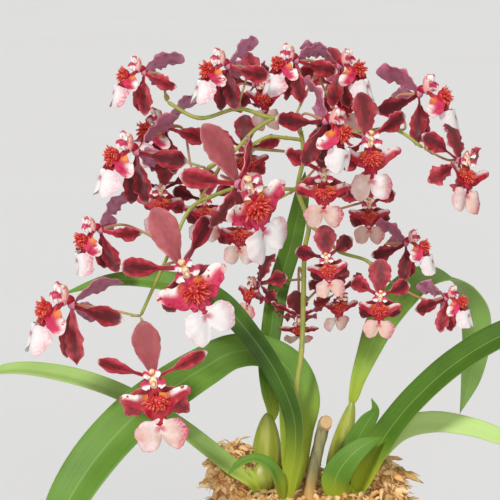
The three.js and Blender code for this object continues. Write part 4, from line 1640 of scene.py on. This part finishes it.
    def column(self) -> list[Shell]:
        """The column with its cap, its beak, its wings, and what joins it to the hub.

        Returns:
            The body, the cap, the beak and the root, then the wings.
        """
        pose = self.pose
        middle, tall = np.array(pose.column, float), pose.tall
        root = np.array(pose.neck) + (0, 1.3, 0.4)
        zone, red = LipZone.COLUMN, LipZone.SIDE_LOBES
        body = middle + (0, 0.1, -0.05 * tall)
        cap = middle + (0, -0.65, 0.62 * tall)
        beak = middle + (0, -1.5, -0.3 * tall)
        made = [
            egg(body, (1.6, 1.5, 0.92 * tall), 14, 16, 0.2, (5, 0.07), zone=zone),
            egg(cap, (1.1, 1.15, 0.9), 10, 14, 0.1, (3, 0.1), (1, 0, 0), zone),
            egg(beak, (0.7, 0.8, 1.0), 8, 10, zone=zone),
            egg(root, (1.35, 1.9, 1.5), 9, 12, trait=(0, 0.1, 1), zone=red),
        ]
        t = ease(15)
        bow = 0.35 * np.sin(np.pi * t)[:, None] * UP
        for order, wing in enumerate(pose.wings):
            for hand in (-1, 1):
                mirror = np.array([hand, 1, 1])
                phase = self.number + 2.3 * order + hand
                rib = middle + mirror * wing.root + t[:, None] * (mirror * wing.way) + bow
                side = np.broadcast_to(np.array(wing.edge) * hand, rib.shape)
                frill = 1 + 0.16 * np.sin(13 * t + phase)
                width = wing.half * np.sin(np.pi * t**1.3) ** 0.5 * frill
                s, w, u = axes(14, width, t)
                lift = 0.24 * w * s**2 + 0.3 * w * s * np.sin(8 * u + phase)
                look = (wing.white + 0.2 * math.sin(phase), hand, 0)
                made.append(blade(rib, side, width, lift, 0.24, t, look, LipZone.WINGS))
        return made

    def lip(self) -> list[Shell]:
        """The whole lip with its column."""
        return [self.mid_lobe(), self.neck(), self.side_lobes(), *self.callus(), *self.column()]

    def placed(self, parts: list[Shell]) -> list[Shell]:
        """The parts scaled, turned and moved to the bloom's place.

        Args:
            parts: surfaces round the bloom's own middle.

        Returns:
            The same surfaces, at its place.
        """
        turn = self.place.turn()
        for part in parts:
            part.points = np.array(self.place.at) + (self.place.scale * part.points) @ turn.T
        return parts

    def build(self, model: Model, petals: Material, lips: Sequence[Material]) -> None:
        """Adds the bloom's two pieces.

        Args:
            model: what the pieces are added to.
            petals: the finish of the tepals.
            lips: the finish of each zone of the lip.
        """
        name = f"{self.number:02d}"
        node = f"bloom_{name}"
        nodes = (node, node) if self.place.back else (f"{node}_tepals", f"{node}_lip")
        model.add(f"petals_{name}", self.placed(self.tepals()), [petals], Slot.TEPAL, [nodes[0]])
        model.add(f"lip_{name}", self.placed(self.lip()), lips, Slot.LIP, [nodes[1]])


# ---- flower stem


@dataclass
class FlowerStem:
    """The main axis, its branches, the pedicels, their bracts, and one bud."""

    main: tuple = (
        (-7, -2, 68), (-6.6, -2.4, 84), (-5, -4, 98), (-4, -5, 110), (-2.6, -4, 121), (-2, 0, 135),
        (-1.6, 2, 149), (-0.5, 2, 156), (-3.6, 0.4, 166), (-2.4, 0, 174), (-3, -1, 182),
        (-7, -2.4, 186), (-12, -4, 186.6), (-20, -5, 189), (-31, -6, 186.5), (-40, -5, 191),
    )
    branches: tuple = (
        ((-3.6, 0.4, 166), (-11, -6, 167), (-20, -12, 168), (-27, -15, 166), (-33, -18, 163),
         (-38, -20.5, 153), (-43, -20, 142), (-47, -17, 133)),
        ((-10, -3.4, 186.6), (-16, -6, 183), (-22, -9, 177), (-29, -9, 173)),
        ((-2.6, -0.6, 180), (-7, -1.5, 180.6), (-12, -3, 181), (-18, -5, 178)),
        ((-2.4, 0, 174), (-1, 2, 178), (5, 3, 180.5), (14, 1.5, 182), (23, -2, 183), (31, -4, 178)),
        ((-0.5, 2, 156), (4, 1, 152.5), (8, 0, 148.6), (16, -2, 146), (18, -3, 143)),
    )
    main_radius: float = 0.82
    branch_radius: float = 0.56
    pedicel_radius: float = 0.36
    bract_length: float = 3.0
    bract_half: float = 0.95
    bud_at: Trio = (33, -5, 180)
    bud_from: Trio = (31, -4, 178)
    bud_radii: Trio = (1.3, 1.3, 1.85)

    def nearest(self, point: Numbers) -> Array:
        """The point of the axis and branches that lies nearest to a point.

        Args:
            point: the point.

        Returns:
            The nearest one.
        """
        routes = (self.main, *self.branches)
        steps = (np.linspace(0, 1, 12 * len(route) + 1) for route in routes)
        places = np.vstack([smooth_route(route, t) for route, t in zip(routes, steps)])
        return places[np.argmin(np.linalg.norm(places - np.array(point), axis=1))]

    def bar(self, route: Sequence, radius: float, taper: float) -> Shell:
        """A stem that thins along its way and swells a little at each point of its route.

        Args:
            route: the points of its route.
            radius: its radius at its start.
            taper: the share of its radius that it loses.

        Returns:
            The bar.
        """
        t = np.linspace(0, 1, 9 * len(route))
        swell = 1 + 0.16 * bell(np.sin(np.pi * t * (len(route) - 1)), 0.35)
        return tube(smooth_route(route, t), radius * (1 - taper * t) * swell, 12)

    def pedicel(self, bloom: Place) -> tuple[Shell, Shell]:
        """The pedicel of a bloom, which meets it from straight behind, and its bract.

        Args:
            bloom: the place of the bloom.

        Returns:
            The pedicel and the bract.
        """
        behind = bloom.turn() @ BACK
        end = np.array(bloom.at) + behind * 2.0 * bloom.scale
        start = self.nearest(bloom.start)
        before = end + behind * min(np.linalg.norm(start - end) / 3 + 1, 6)
        route = [start, *([bloom.via] if bloom.via else []), before, end]
        t = np.linspace(0, 1, 30)
        path = smooth_route(route, t)
        stalk = tube(path, self.pedicel_radius * (1 + 0.75 * step(0.62, 0.95, t)), 8, (0, 1, 0))
        rows, way = ease(9), path[4] - path[0]
        rib = path[0] + rows[:, None] * (self.bract_length * unit(way) - 0.5 * UP)
        side = np.broadcast_to(unit(np.cross(way, UP + 0.01)), rib.shape)
        width = self.bract_half * np.sin(np.pi * rows**0.7) ** 0.7
        s, w, _ = axes(8, width, rows)
        return stalk, blade(rib, side, width, 0.5 * w * s**2, 0.16, rows, (0, 0.7, 0))

    def build(self, model: Model) -> None:
        """Adds the stem, the bracts and the bud.

        Args:
            model: what the pieces are added to.
        """
        skin = StemFinish().material()
        stalks, bracts = zip(*(self.pedicel(bloom) for bloom in PLACES))
        bud_path = smooth_route((self.bud_from, self.bud_at), np.linspace(0, 1, 8))
        stems = [self.bar(self.main, self.main_radius, 0.38)]
        stems += [self.bar(route, self.branch_radius, 0.2) for route in self.branches]
        stems += [*stalks, tube(bud_path, self.pedicel_radius, 8)]
        model.add("stem", stems, [skin], Slot.STEM, ["flower_stem"])
        model.add("bracts", bracts, [skin], Slot.STEM, ["flower_stem"])
        bud = egg(self.bud_at, self.bud_radii, 16, 20, 0.2, (3, 0.05), (0.6, 0.2, 0))
        under = np.array(self.bud_at) - (0.1, 0, 1.3)
        calyx = egg(under, (0.75, 0.75, 0.6), 9, 12, 0, (5, 0.08), (0, 0.4, 0), 1)
        finishes = [MidLobeFinish().material(), skin]
        model.add("bud", [bud, calyx], finishes, Slot.STEM, ["flower_stem"])


# ---- leaves and pseudobulbs


@dataclass(frozen=True)
class Leaf:
    """A folded leaf along its route.

    Attributes:
        route: the points of its middle line.
        widths: its half widths at the route's inner points.
        faces: the way that its upper face looks at its base, middle and tip.
        fold: how far its edges stand up, as a share of its half width.
        tone: how light it is.
        yellow: how strongly its base is yellow-green.
        rib: half its thickness at the rib.
        pale: how much lighter its outer part is.
    """

    route: tuple
    widths: tuple
    faces: tuple
    fold: float
    tone: float
    yellow: float
    rib: float = 0.5
    pale: float = 0.0

    def shell(self) -> Shell:
        """The leaf: a V across, a keel under it, and a slow wave in its edges.

        Returns:
            The leaf.
        """
        t = ease(12 * len(self.route), 0.15)
        rib = smooth_route(self.route, t)
        width = smooth_values((0, *self.widths, 0), t)
        faces = np.array(self.faces, float).T
        looks = grid(*(np.interp(t, (0, 0.5, 1), axis) for axis in faces))
        side = np.cross(unit(np.gradient(rib, axis=0)), unit(looks))
        columns = 26
        s, w, u = axes(columns, width, t)
        fold = self.fold * w * (np.sqrt(s**2 + 0.03) - 0.17)
        wave = 0.05 * w * s * np.abs(s) * np.sin(11 * u + 6 * self.tone)
        keel = -0.35 * bell(s, 0.12) * (loop(columns)[1] < 0)
        thick = self.rib * np.minimum(1, 6 * np.minimum(t, 1 - t) + 0.1)
        look = (self.tone, self.yellow, self.pale)
        return blade(rib, side, width, fold + wave + keel, thick, t, look)


TALL_BACK = Leaf(
    ((-12, 7, 96), (-10.5, 7.5, 101), (-11.5, 9.5, 107), (-12, 12.5, 114.2), (-11, 16.5, 123.4),
     (-9, 20.5, 134.7), (-5, 22.5, 147.8), (-2, 24, 161.7), (-1, 25, 168.7)),
    (1.7, 2.4, 2.8, 3, 3.1, 3, 2.2),
    ((0, -1, 0.1), (0.2, -1, 0.1), (0, -1, 0.2)),
    0.3, 0.4, 0.7,
)
LONG_LEFT = Leaf(
    ((-13.6, -0.6, 75), (-16, -2, 82.4), (-21.6, -1, 86), (-29, 3, 91), (-36, 7, 95.5),
     (-46, 11, 101), (-58, 13, 106.5), (-72, 14, 110.5), (-86, 14, 112), (-102, 14, 108.5)),
    (2.4, 2.8, 3, 3.1, 3.2, 3.2, 3, 2.2),
    ((0.5, -1, 0.9), (0.3, -0.8, 1), (0, -0.6, 1)),
    0.45, 0.92, 0.9,
)
DARK_ARCH = Leaf(
    ((-7, -6.4, 75), (-5.8, -8.6, 84), (-4.2, -10, 93), (-4.4, -11, 103), (-8.4, -11.4, 114),
     (-15.5, -10.5, 125), (-25, -8.5, 135), (-34, -6, 139), (-45, -3, 140.6), (-57, -1, 140),
     (-71, 0, 136)),
    (2.8, 3, 3, 2.9, 3, 3.4, 3.6, 3.2, 2.4),
    ((-0.6, -1, 0.2), (-0.7, -0.8, 0.9), (0, -0.7, 1)),
    0.4, 0.12, 0.75, pale=0.36,
)
BROAD_ARCH = Leaf(
    ((-5.4, -0.8, 75), (-4.4, 0.8, 87), (-3.8, 2, 97), (-3.2, 3, 106), (-6, 5.4, 113.6),
     (-13, 7.4, 118.4), (-22, 7.4, 118.2), (-30, 5.6, 114.2), (-39, 1.6, 109), (-50, -4, 101.5),
     (-61, -10, 90), (-69, -15, 77), (-75, -18, 58)),
    (3.6, 4.8, 6, 5.6, 4.8, 5.4, 6.2, 7, 7.3, 7.2, 6),
    ((0.1, -1, 0.1), (0, -1, 0.7), (-0.5, -0.9, 0.5)),
    0.25, 0.46, 0.8,
)
CURLED_SHEATH = Leaf(
    ((-7.6, -6.4, 76), (-9, -11.2, 85.6), (-11.5, -13.6, 90.5), (-15.5, -14, 92.6),
     (-20, -14, 91), (-23.4, -14, 87.6)),
    (2, 1.8, 1.5, 1.2),
    ((0.3, -1, 0.6), (0, -0.8, 1), (-0.5, -0.6, 0.8)),
    0.3, 0.46, 0.6,
)
RIGHT_ARCH = Leaf(
    ((11.4, 9, 101), (12.6, 9.4, 105), (14, 11, 110), (17, 14, 117), (21, 17.5, 125),
     (27, 22.5, 132), (33, 28, 136), (40, 34, 136.4), (46, 39, 132.6), (50, 42, 125),
     (51, 43, 115), (49.6, 43, 104), (46.4, 42, 93)),
    (1.6, 2.2, 3.2, 4.6, 5.8, 6.0, 5.9, 5.6, 5.1, 4.4, 3.1),
    ((0.5, -1, 0), (-0.4, -0.7, 1), (0.5, 1, 0.1)),
    0.2, 0.68, 0.6,
)
RIGHT_LONG = Leaf(
    ((11.6, -3.2, 75), (15.5, -4, 86), (19.5, -5, 94), (24, -6, 101), (30, -7, 108.4),
     (40, -9, 118), (52.5, -12, 126.5), (66, -14.5, 132), (76.9, -16, 134)),
    (4, 4.2, 4.2, 4.4, 4.6, 4.4, 3.2),
    ((-0.6, -1, 0.5), (-0.6, -1, 0.8), (-0.3, -0.8, 1)),
    0.35, 0.24, 0.9,
)
RIGHT_PALE = Leaf(
    ((11.6, 0.6, 75), (18.5, 3, 89), (26, 3.4, 96.8), (34.5, 2.6, 99.2), (44, 0.6, 98.6),
     (55, -2, 95.4), (69, -5, 88)),
    (3, 3.2, 3.1, 2.8, 2.3),
    ((-0.5, -1, 0.3), (0, -1, 0.4), (0.2, -1, 0.5)),
    0.2, 1.1, 0.3,
)
HOOKED_SHEATH = Leaf(
    ((9, 0.6, 75), (10.4, 2, 86), (13.2, 2.4, 93), (16.4, 2.6, 99), (18.6, 2.6, 102.6),
     (17.4, 2.4, 106.4)),
    (3.2, 3.4, 2.6, 1.3),
    ((-0.3, -1, 0.2), (-0.3, -1, 0.2), (-0.3, -1, 0.4)),
    0.3, 0.4, 0.5,
)
FRONT_SHEATH = Leaf(
    ((8.4, -6, 75), (7, -9.8, 85.4), (10.6, -10.4, 91.6), (15.2, -9.8, 95.4), (20, -8.6, 97.4)),
    (4, 3.6, 2.4),
    ((-0.2, -1, 0.3), (-0.3, -1, 0.5), (-0.3, -1, 0.7)),
    0.25, 0.36, 0.9,
)


@dataclass(frozen=True)
class Bulb:
    """A flattened, pointed pseudobulb from its foot to its apex."""

    foot: Trio
    apex: Trio
    width: float
    depth: float

    def shell(self) -> Shell:
        """An egg, ridged round and narrower towards its apex, leaned along its axis by a shear.

        Returns:
            The pseudobulb.
        """
        foot, apex = np.array(self.foot, float), np.array(self.apex, float)
        half = (apex[2] - foot[2]) / 2
        radii = (self.width, self.depth, half)
        body = egg((0, 0, half), radii, 30, 40, 0.28, (9, 0.022), (0.5, 0, 0))
        lean = (apex - foot) * (1, 1, 0)
        body.points = body.points + foot + body.points[:, 2:] / (2 * half) * lean
        return body


@dataclass(frozen=True)
class Growth:
    """A growth: leaves and pseudobulbs on one oval foot.

    Attributes:
        name: what its pieces are called.
        node: the node that it stands for.
        at: the middle of its foot.
        radii: half the size of its foot.
        leaves: its leaves.
        bulbs: its pseudobulbs.
        foot_level: the height of its foot's middle.
        foot_half: half the height of its foot.
    """

    name: str
    node: str
    at: Pair
    radii: Pair
    leaves: tuple[Leaf, ...]
    bulbs: tuple[Bulb, ...] = ()
    foot_level: float = 74
    foot_half: float = 8.5

    def foot(self) -> Shell:
        """The buried base: a ribbed stub that the leaf bases and the pseudobulbs rise from.

        Returns:
            The stub.
        """
        middle, radii = (*self.at, self.foot_level), (*self.radii, self.foot_half)
        stub = egg(middle, radii, 18, 36, 0.1, (11, 0.04), (0.45, 1, 0))
        stub.place[:, 1] = 0.02
        return stub

    def build(self, model: Model, leaf_skin: Material, bulb_skin: Material) -> None:
        """Adds the leaves with their foot, and the pseudobulbs.

        Args:
            model: what the pieces are added to.
            leaf_skin: the finish of the leaves.
            bulb_skin: the finish of the pseudobulbs.
        """
        leaves = [*(leaf.shell() for leaf in self.leaves), self.foot()]
        model.add(f"{self.name}_leaves", leaves, [leaf_skin], Slot.LEAF, [self.node])
        if self.bulbs:
            bulbs = [bulb.shell() for bulb in self.bulbs]
            model.add(f"{self.name}_bulbs", bulbs, [bulb_skin], Slot.LEAF, [self.node])


GROWTHS = (
    Growth(
        "left", "left_bulb_growth", (-14, 3), (3.2, 7.4), (TALL_BACK, LONG_LEFT),
        (Bulb((-12.5, 7, 80.5), (-12, 7, 101), 4.1, 2.8),
         Bulb((-13.6, 0.6, 79.4), (-13.6, 1, 88), 3.5, 2.6)),
    ),
    Growth(
        "centre", "centre_growth", (-6.6, -3.2), (3.6, 6.4),
        (DARK_ARCH, BROAD_ARCH, CURLED_SHEATH),
    ),
    Growth(
        "right", "right_bulb_growth", (6.4, 9), (3.2, 3.2), (RIGHT_ARCH,),
        (Bulb((6.4, 9, 80), (12.4, 9, 104), 3, 2.5),),
    ),
    Growth(
        "fan", "right_fan_growth", (10.2, -2.6), (6, 6.6),
        (RIGHT_LONG, RIGHT_PALE, HOOKED_SHEATH, FRONT_SHEATH),
    ),
)


# ---- pot, moss and cane


@dataclass(frozen=True)
class Pot:
    """A plain clay pot with a rim band and drain holes."""

    base_radius: float = 28
    mouth_radius: float = 38
    height: float = 66
    wall: float = 3
    floor: float = 4
    rim_height: float = 13
    rim_out: float = 2.5
    drains: int = 4
    drain_radius: float = 3.5
    drain_ring: float = 15

    def radius(self, height: float) -> float:
        """The outer radius at a height."""
        return self.base_radius + (self.mouth_radius - self.base_radius) * height / self.height

    def shell(self) -> Shell:
        """The turned pot, with small rounds at its rim, its band and its foot.

        Returns:
            The pot, without its holes.
        """
        top, low = self.height, self.height - self.rim_height
        base, band = self.base_radius, self.radius(low)
        edge, inner = self.radius(top) + self.rim_out, self.radius(top) - self.wall
        profile = [
            (0, 0), (base - 5, 0), (base - 0.8, 0), (base, 0.9),
            *((self.radius(h), h) for h in np.linspace(3, low - 1.5, 14)),
            (band, low - 0.4), (band + 0.9, low), (band + self.rim_out - 0.5, low + 0.4),
            (band + self.rim_out, low + 1.2),
            *((self.radius(h) + self.rim_out, h) for h in np.linspace(low + 3, top - 1.4, 5)),
            (edge - 0.25, top - 0.5), (edge - 0.9, top), (inner + 0.9, top),
            (inner + 0.2, top - 0.3), (inner - 0.1, top - 1.2),
            *((self.radius(h) - self.wall, h) for h in np.linspace(top - 4, self.floor + 2, 8)),
            (self.radius(self.floor) - self.wall - 2, self.floor), (0, self.floor),
        ]
        return lathe(profile, 96)

    def drill(self, piece: Thing) -> None:
        """Cuts the drain holes through the floor with solid bars, which are then taken away.

        Args:
            piece: the pot.
        """
        turns = 2 * np.pi * np.arange(self.drains) / self.drains
        heights = np.array([-3, -2.9, 7.9, 8])
        bores = []
        for x, y in self.drain_ring * grid(np.cos(turns), np.sin(turns)):
            bores.append(tube(grid(x, y, heights), self.drain_radius, 28))
        cutter = linked("drain_bars", joined("drain_bars", bores))
        cut = piece.modifiers.new("drains", "BOOLEAN")
        cut.operation, cut.solver, cut.object = "DIFFERENCE", "EXACT", cutter
        bpy.context.view_layer.update()
        seen = piece.evaluated_get(bpy.context.evaluated_depsgraph_get())
        drilled = bpy.data.meshes.new_from_object(seen)
        piece.modifiers.clear()
        piece.data = drilled
        bpy.data.objects.remove(cutter)

    def build(self, model: Model) -> None:
        """Adds the pot."""
        finishes = [ClayFinish().material()]
        self.drill(model.add("pot_shell", [self.shell()], finishes, Slot.CLAY, ["pot"]))


@dataclass(frozen=True)
class Tuft:
    """A round heap of moss: its middle, its radius and its height."""

    at: Trio
    radius: float
    tall: float


@dataclass(frozen=True)
class Strands:
    """How a kind of strand is drawn.

    Attributes:
        count: how many.
        length: the least length, and how much more the longest has.
        girth: the same for the radius.
        columns: points round a strand.
        seed: where the random draw starts.
    """

    count: int
    length: Pair
    girth: Pair
    columns: int
    seed: int


@dataclass(frozen=True)
class Moss:
    """The moss in the pot: a bed with tufts, and strands all over it.

    Attributes:
        edge: its radius at its foot, in the pot's mouth.
        reach: how far out a strand may run.
        bottom: the radius and the height of the plug under it.
        dome: radii and heights of the bed's slope.
        tufts: the heaps on it.
        squeeze: how much of a tuft's radius and height shows, as shares.
        ropes: the leafy strands.
        hairs: the thin ones.
        flank: where the strands on its flank start, as the least and the greatest radius.
        level_reach: how far out its bed is level, where it takes strands and shows bumps.
        on_flank: the share of strands that start on its flank.
        on_bed: the share that start on its flank or its bed, and not on a tuft.
    """

    edge: float = 33.6
    reach: float = 33.2
    bottom: Pair = (27.0, 6.0)
    dome: tuple = ((0, 6.75, 16.2, 27, 31.5, 33.6), (79, 79, 78.5, 76.5, 70, 61))
    tufts: tuple[Tuft, ...] = (
        Tuft((-21.5, 7, 80), 6.5, 12), Tuft((21, 4, 78), 5.5, 9),
        Tuft((17, 15, 78), 7, 8), Tuft((-6, 19, 79), 9, 7),
    )
    squeeze: Pair = (0.92, 0.9)
    ropes: Strands = Strands(1700, (1.8, 3.2), (0.45, 0.5), 7, 7)
    hairs: Strands = Strands(1900, (1.5, 3.5), (0.1, 0.16), 4, 8)
    flank: Pair = (27, 33.3)
    level_reach: float = 30
    on_flank: float = 0.3
    on_bed: float = 0.5

    def height(self, x: Array, y: Array) -> Array:
        """The height of the moss: a low dome with bumps, and a tuft where one stands.

        Args:
            x: places across.
            y: places from front to back.

        Returns:
            The height at each.
        """
        r = np.hypot(x, y)
        coarse = 0.8 * np.sin(0.9 * x + 1.3) * np.cos(0.8 * y - 0.4)
        fine = 0.6 * np.sin(1.9 * x) * np.sin(2.3 * y)
        height = np.interp(r, *self.dome) + (coarse + fine) * step(self.edge, self.level_reach, r)
        for tuft in self.tufts:
            away = (x - tuft.at[0]) ** 2 + (y - tuft.at[1]) ** 2
            inside = np.maximum(1 - away / (self.squeeze[0] * tuft.radius) ** 2, 0)
            heap = tuft.at[2] + self.squeeze[1] * tuft.tall * np.sqrt(inside)
            height = np.where(inside > 0, np.maximum(height, heap), height)
        return height

    def bed(self) -> Shell:
        """The body of the moss: a disc of rings over a plain plug.

        Returns:
            The bed.
        """
        across, up = loop(120)
        radius = self.edge * np.linspace(0, 1, 60)[:, None]
        x, y = radius * across, radius * up
        plug = np.array([[self.bottom[0]], [0.0]])
        under = grid(plug * across, plug * up, self.bottom[1])
        points = np.concatenate([grid(x, y, self.height(x, y)), under], axis=0)
        return shells(points, np.zeros_like(points))

    def strands(self, kind: Strands) -> Shell:
        """Strands of moss, each with a root on the bed, on its flank or on a tuft.

        A strand leaves its root along a random way that leans outwards, rises by a sine, and curls
        to one side. Its radius rises and falls by sines along it, so that a thick one looks like a
        leafy stem of moss. Each has its own tone.

        Args:
            kind: how they are drawn.

        Returns:
            The strands.
        """
        rng, count = np.random.default_rng(kind.seed), kind.count
        bearing = 2 * np.pi * rng.random(count)
        level = grid(np.cos(bearing), np.sin(bearing), 0.0)
        part = rng.random(count)[:, None]
        flank = rng.uniform(*self.flank, (count, 1))
        on_flank, on_tuft = part < self.on_flank, part > self.on_bed
        bed = self.level_reach * np.sqrt(rng.random((count, 1)))
        flat = np.where(on_flank, flank, bed) * level
        flat[:, 2] = self.height(flat[:, 0], flat[:, 1])
        which = rng.integers(0, len(self.tufts), count)
        table = np.array([(*tuft.at, tuft.radius, tuft.radius, tuft.tall) for tuft in self.tufts])
        centres, sizes = table[which, :3], table[which, 3:]
        rise = rng.uniform(-0.1, 1, count)[:, None]
        outward = np.sqrt(1 - rise**2) * level + rise * UP
        share = np.array([self.squeeze[0], self.squeeze[0], self.squeeze[1]])
        root = np.where(on_tuft, centres + outward * share * sizes, flat) - 0.2 * UP
        heading = 2 * np.pi * rng.random(count)
        loose = grid(np.cos(heading), np.sin(heading), rng.uniform(-0.3, 0.6, count))
        lean = np.where(on_tuft, outward, np.where(on_flank, level - 0.5 * UP, UP))
        way = unit(loose + 0.45 * lean)
        sideways = grid(-np.sin(heading), np.cos(heading), -0.3)
        curl = sideways * rng.normal(0, 0.5, (count, 1))
        size = (kind.length[0] + kind.length[1] * rng.random(count))[:, None]
        t = np.linspace(0, 1, 9)
        run = size * t
        rib = root[:, None] + way[:, None] * run[..., None] + curl[:, None] * (run * t)[..., None]
        rib[..., 2] += 0.2 * size * np.sin(np.pi * t) - 0.25 * run * t
        out = np.maximum(np.hypot(rib[..., 0], rib[..., 1]), LEAST_LENGTH)
        rib[..., :2] *= np.minimum(1, self.reach / out)[..., None]
        knobs = 1 + 0.22 * np.sin(17 * t + 6.28 * rng.random((count, 1)))
        radius = (kind.girth[0] + kind.girth[1] * rng.random(count))[:, None]
        thick = radius * (np.sin(np.pi * t) ** 0.5 + 0.02) * knobs
        tones = grid(rng.normal(0.36, 0.3, count), rng.random(count), 0.0)
        made = bars(rib, way, UP + 0.01, thick, kind.columns, tones)
        made.place[:] = 0
        return made

    def build(self, model: Model) -> None:
        """Adds the bed and its strands.

        Args:
            model: what the pieces are added to.
        """
        fibre = MossFinish().material()
        for name, part in (
            ("moss_bed", self.bed()),
            ("moss_ropes", self.strands(self.ropes)),
            ("moss_hairs", self.strands(self.hairs)),
        ):
            model.add(name, [part], [fibre], Slot.MOSS, ["potting_moss"])


@dataclass(frozen=True)
class Cane:
    """The old cut cane, with its cut end."""

    route: tuple = ((-1, -7.4, 68), (0.2, -7, 84), (4.4, -4.6, 103))
    radius: float = 1.8
    cut_height: float = 101.2
    cut_faces: Trio = (0, -0.74, 0.67)

    def build(self, model: Model) -> None:
        """Adds the cane and the pale slanting face of its cut end.

        What stands over the plane of the cut is lowered straight down onto it.

        Args:
            model: what the pieces are added to.
        """
        t = np.linspace(0, 1, 46)
        rough = 1 + 0.035 * np.sin(23 * t) + 0.03 * np.sin(61 * t + 1)
        bark = tube(smooth_route(self.route, t), 0.96 * self.radius * rough, 20)
        middle = np.array([*self.route[-1][:2], self.cut_height])
        radii = (0.93 * self.radius, 1.25 * self.radius, 1.6)
        face = egg(middle, radii, 12, 24, trait=(0, 0, 1))
        normal = unit(np.array(self.cut_faces))
        for part, sink in ((bark, 0.12), (face, 0)):
            over = np.maximum((part.points - middle) @ normal + sink, 0)
            part.points = part.points - (over / normal[2])[:, None] * UP
        model.add("old_cane", [bark, face], [CaneFinish().material()], Slot.CANE, ["cut_cane"])


# ---- studio


@dataclass(frozen=True)
class Sun:
    """A soft sun, which lights the whole floor alike. turn and spread are in degrees."""

    name: str
    turn: Trio
    strength: float
    spread: float

    def build(self) -> None:
        """Adds the lamp."""
        lamp = bpy.data.lights.new(self.name, "SUN")
        lamp.energy, lamp.angle = self.strength, math.radians(self.spread)
        linked(self.name, lamp).rotation_euler = [math.radians(angle) for angle in self.turn]


@dataclass(frozen=True)
class Studio:
    """The floor, the lights and the camera. Its lengths are metres, and its lens is millimetres."""

    target: Trio = (-0.017, 0.0, 0.149)
    distance: float = 0.62
    elevation: float = 8.0
    lens: float = 159.4
    sensor: float = 36.0
    floor_half: float = 40.0
    suns: tuple[Sun, ...] = (Sun("key", (50, 0, -26), 2.1, 10), Sun("fill", (74, 0, 8), 0.85, 30))
    sky: tuple[float, ...] = (0.98, 0.99, 1.0, 1)
    sky_strength: float = 0.34

    def floor(self) -> None:
        """A wide pale floor, which is no part of the object."""
        mesh = bpy.data.meshes.new("floor")
        corners = [(x * self.floor_half, y * self.floor_half, 0)
                   for x, y in ((-1, -1), (1, -1), (1, 1), (-1, 1))]
        mesh.from_pydata(corners, [], [(0, 1, 2, 3)])
        mesh.materials.append(FloorFinish().material())
        linked("floor", mesh)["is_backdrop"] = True

    def camera(self) -> None:
        """The camera, in front of the plant and a little above it."""
        rise = math.radians(self.elevation)
        away = Vector((0, -math.cos(rise), math.sin(rise))) * self.distance
        lens = bpy.data.cameras.new("camera")
        lens.lens, lens.sensor_width, lens.sensor_fit = self.lens, self.sensor, "HORIZONTAL"
        thing = linked("camera", lens)
        thing.location = Vector(self.target) + away
        thing.rotation_euler = (-away).to_track_quat("-Z", "Y").to_euler()
        bpy.context.scene.camera = thing

    def build(self) -> None:
        """Sets the scene."""
        self.floor()
        for sun in self.suns:
            sun.build()
        world = bpy.data.worlds.new("studio")
        world.use_nodes = True
        sky = world.node_tree.nodes["Background"]
        sky.inputs["Color"].default_value = self.sky
        sky.inputs["Strength"].default_value = self.sky_strength
        bpy.context.scene.world = world
        bpy.context.scene.view_settings.view_transform = "Standard"
        self.camera()


def plain(box: Sequence) -> list[list[float]]:
    """A box as plain lists of numbers."""
    return [[float(number) for number in corner] for corner in box]


def main() -> None:
    """Builds the whole orchid over its frame."""
    logging.basicConfig(level=logging.INFO, format="%(name)s %(message)s")
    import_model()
    cad_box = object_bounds()
    Studio().build()
    model = Model()
    for thing in (Pot(), Moss(), Cane()):
        thing.build(model)
    leaf_skin, bulb_skin = LeafFinish().material(), BulbFinish().material()
    for growth in GROWTHS:
        growth.build(model, leaf_skin, bulb_skin)
    FlowerStem().build(model)
    petals = TepalFinish().material()
    zones = (MidLobeFinish(), SideLobeFinish(), CallusFinish(), ColumnFinish(), WingFinish())
    lips = [finish.material() for finish in zones]
    for number, place in enumerate(PLACES, 1):
        Bloom(number, place).build(model, petals, lips)
    bpy.context.view_layer.update()
    {"cad": plain(cad_box), "visual": plain(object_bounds())}
    LOG.info("%d pieces", len(model.pieces))


if __name__ == "__main__":
    main()
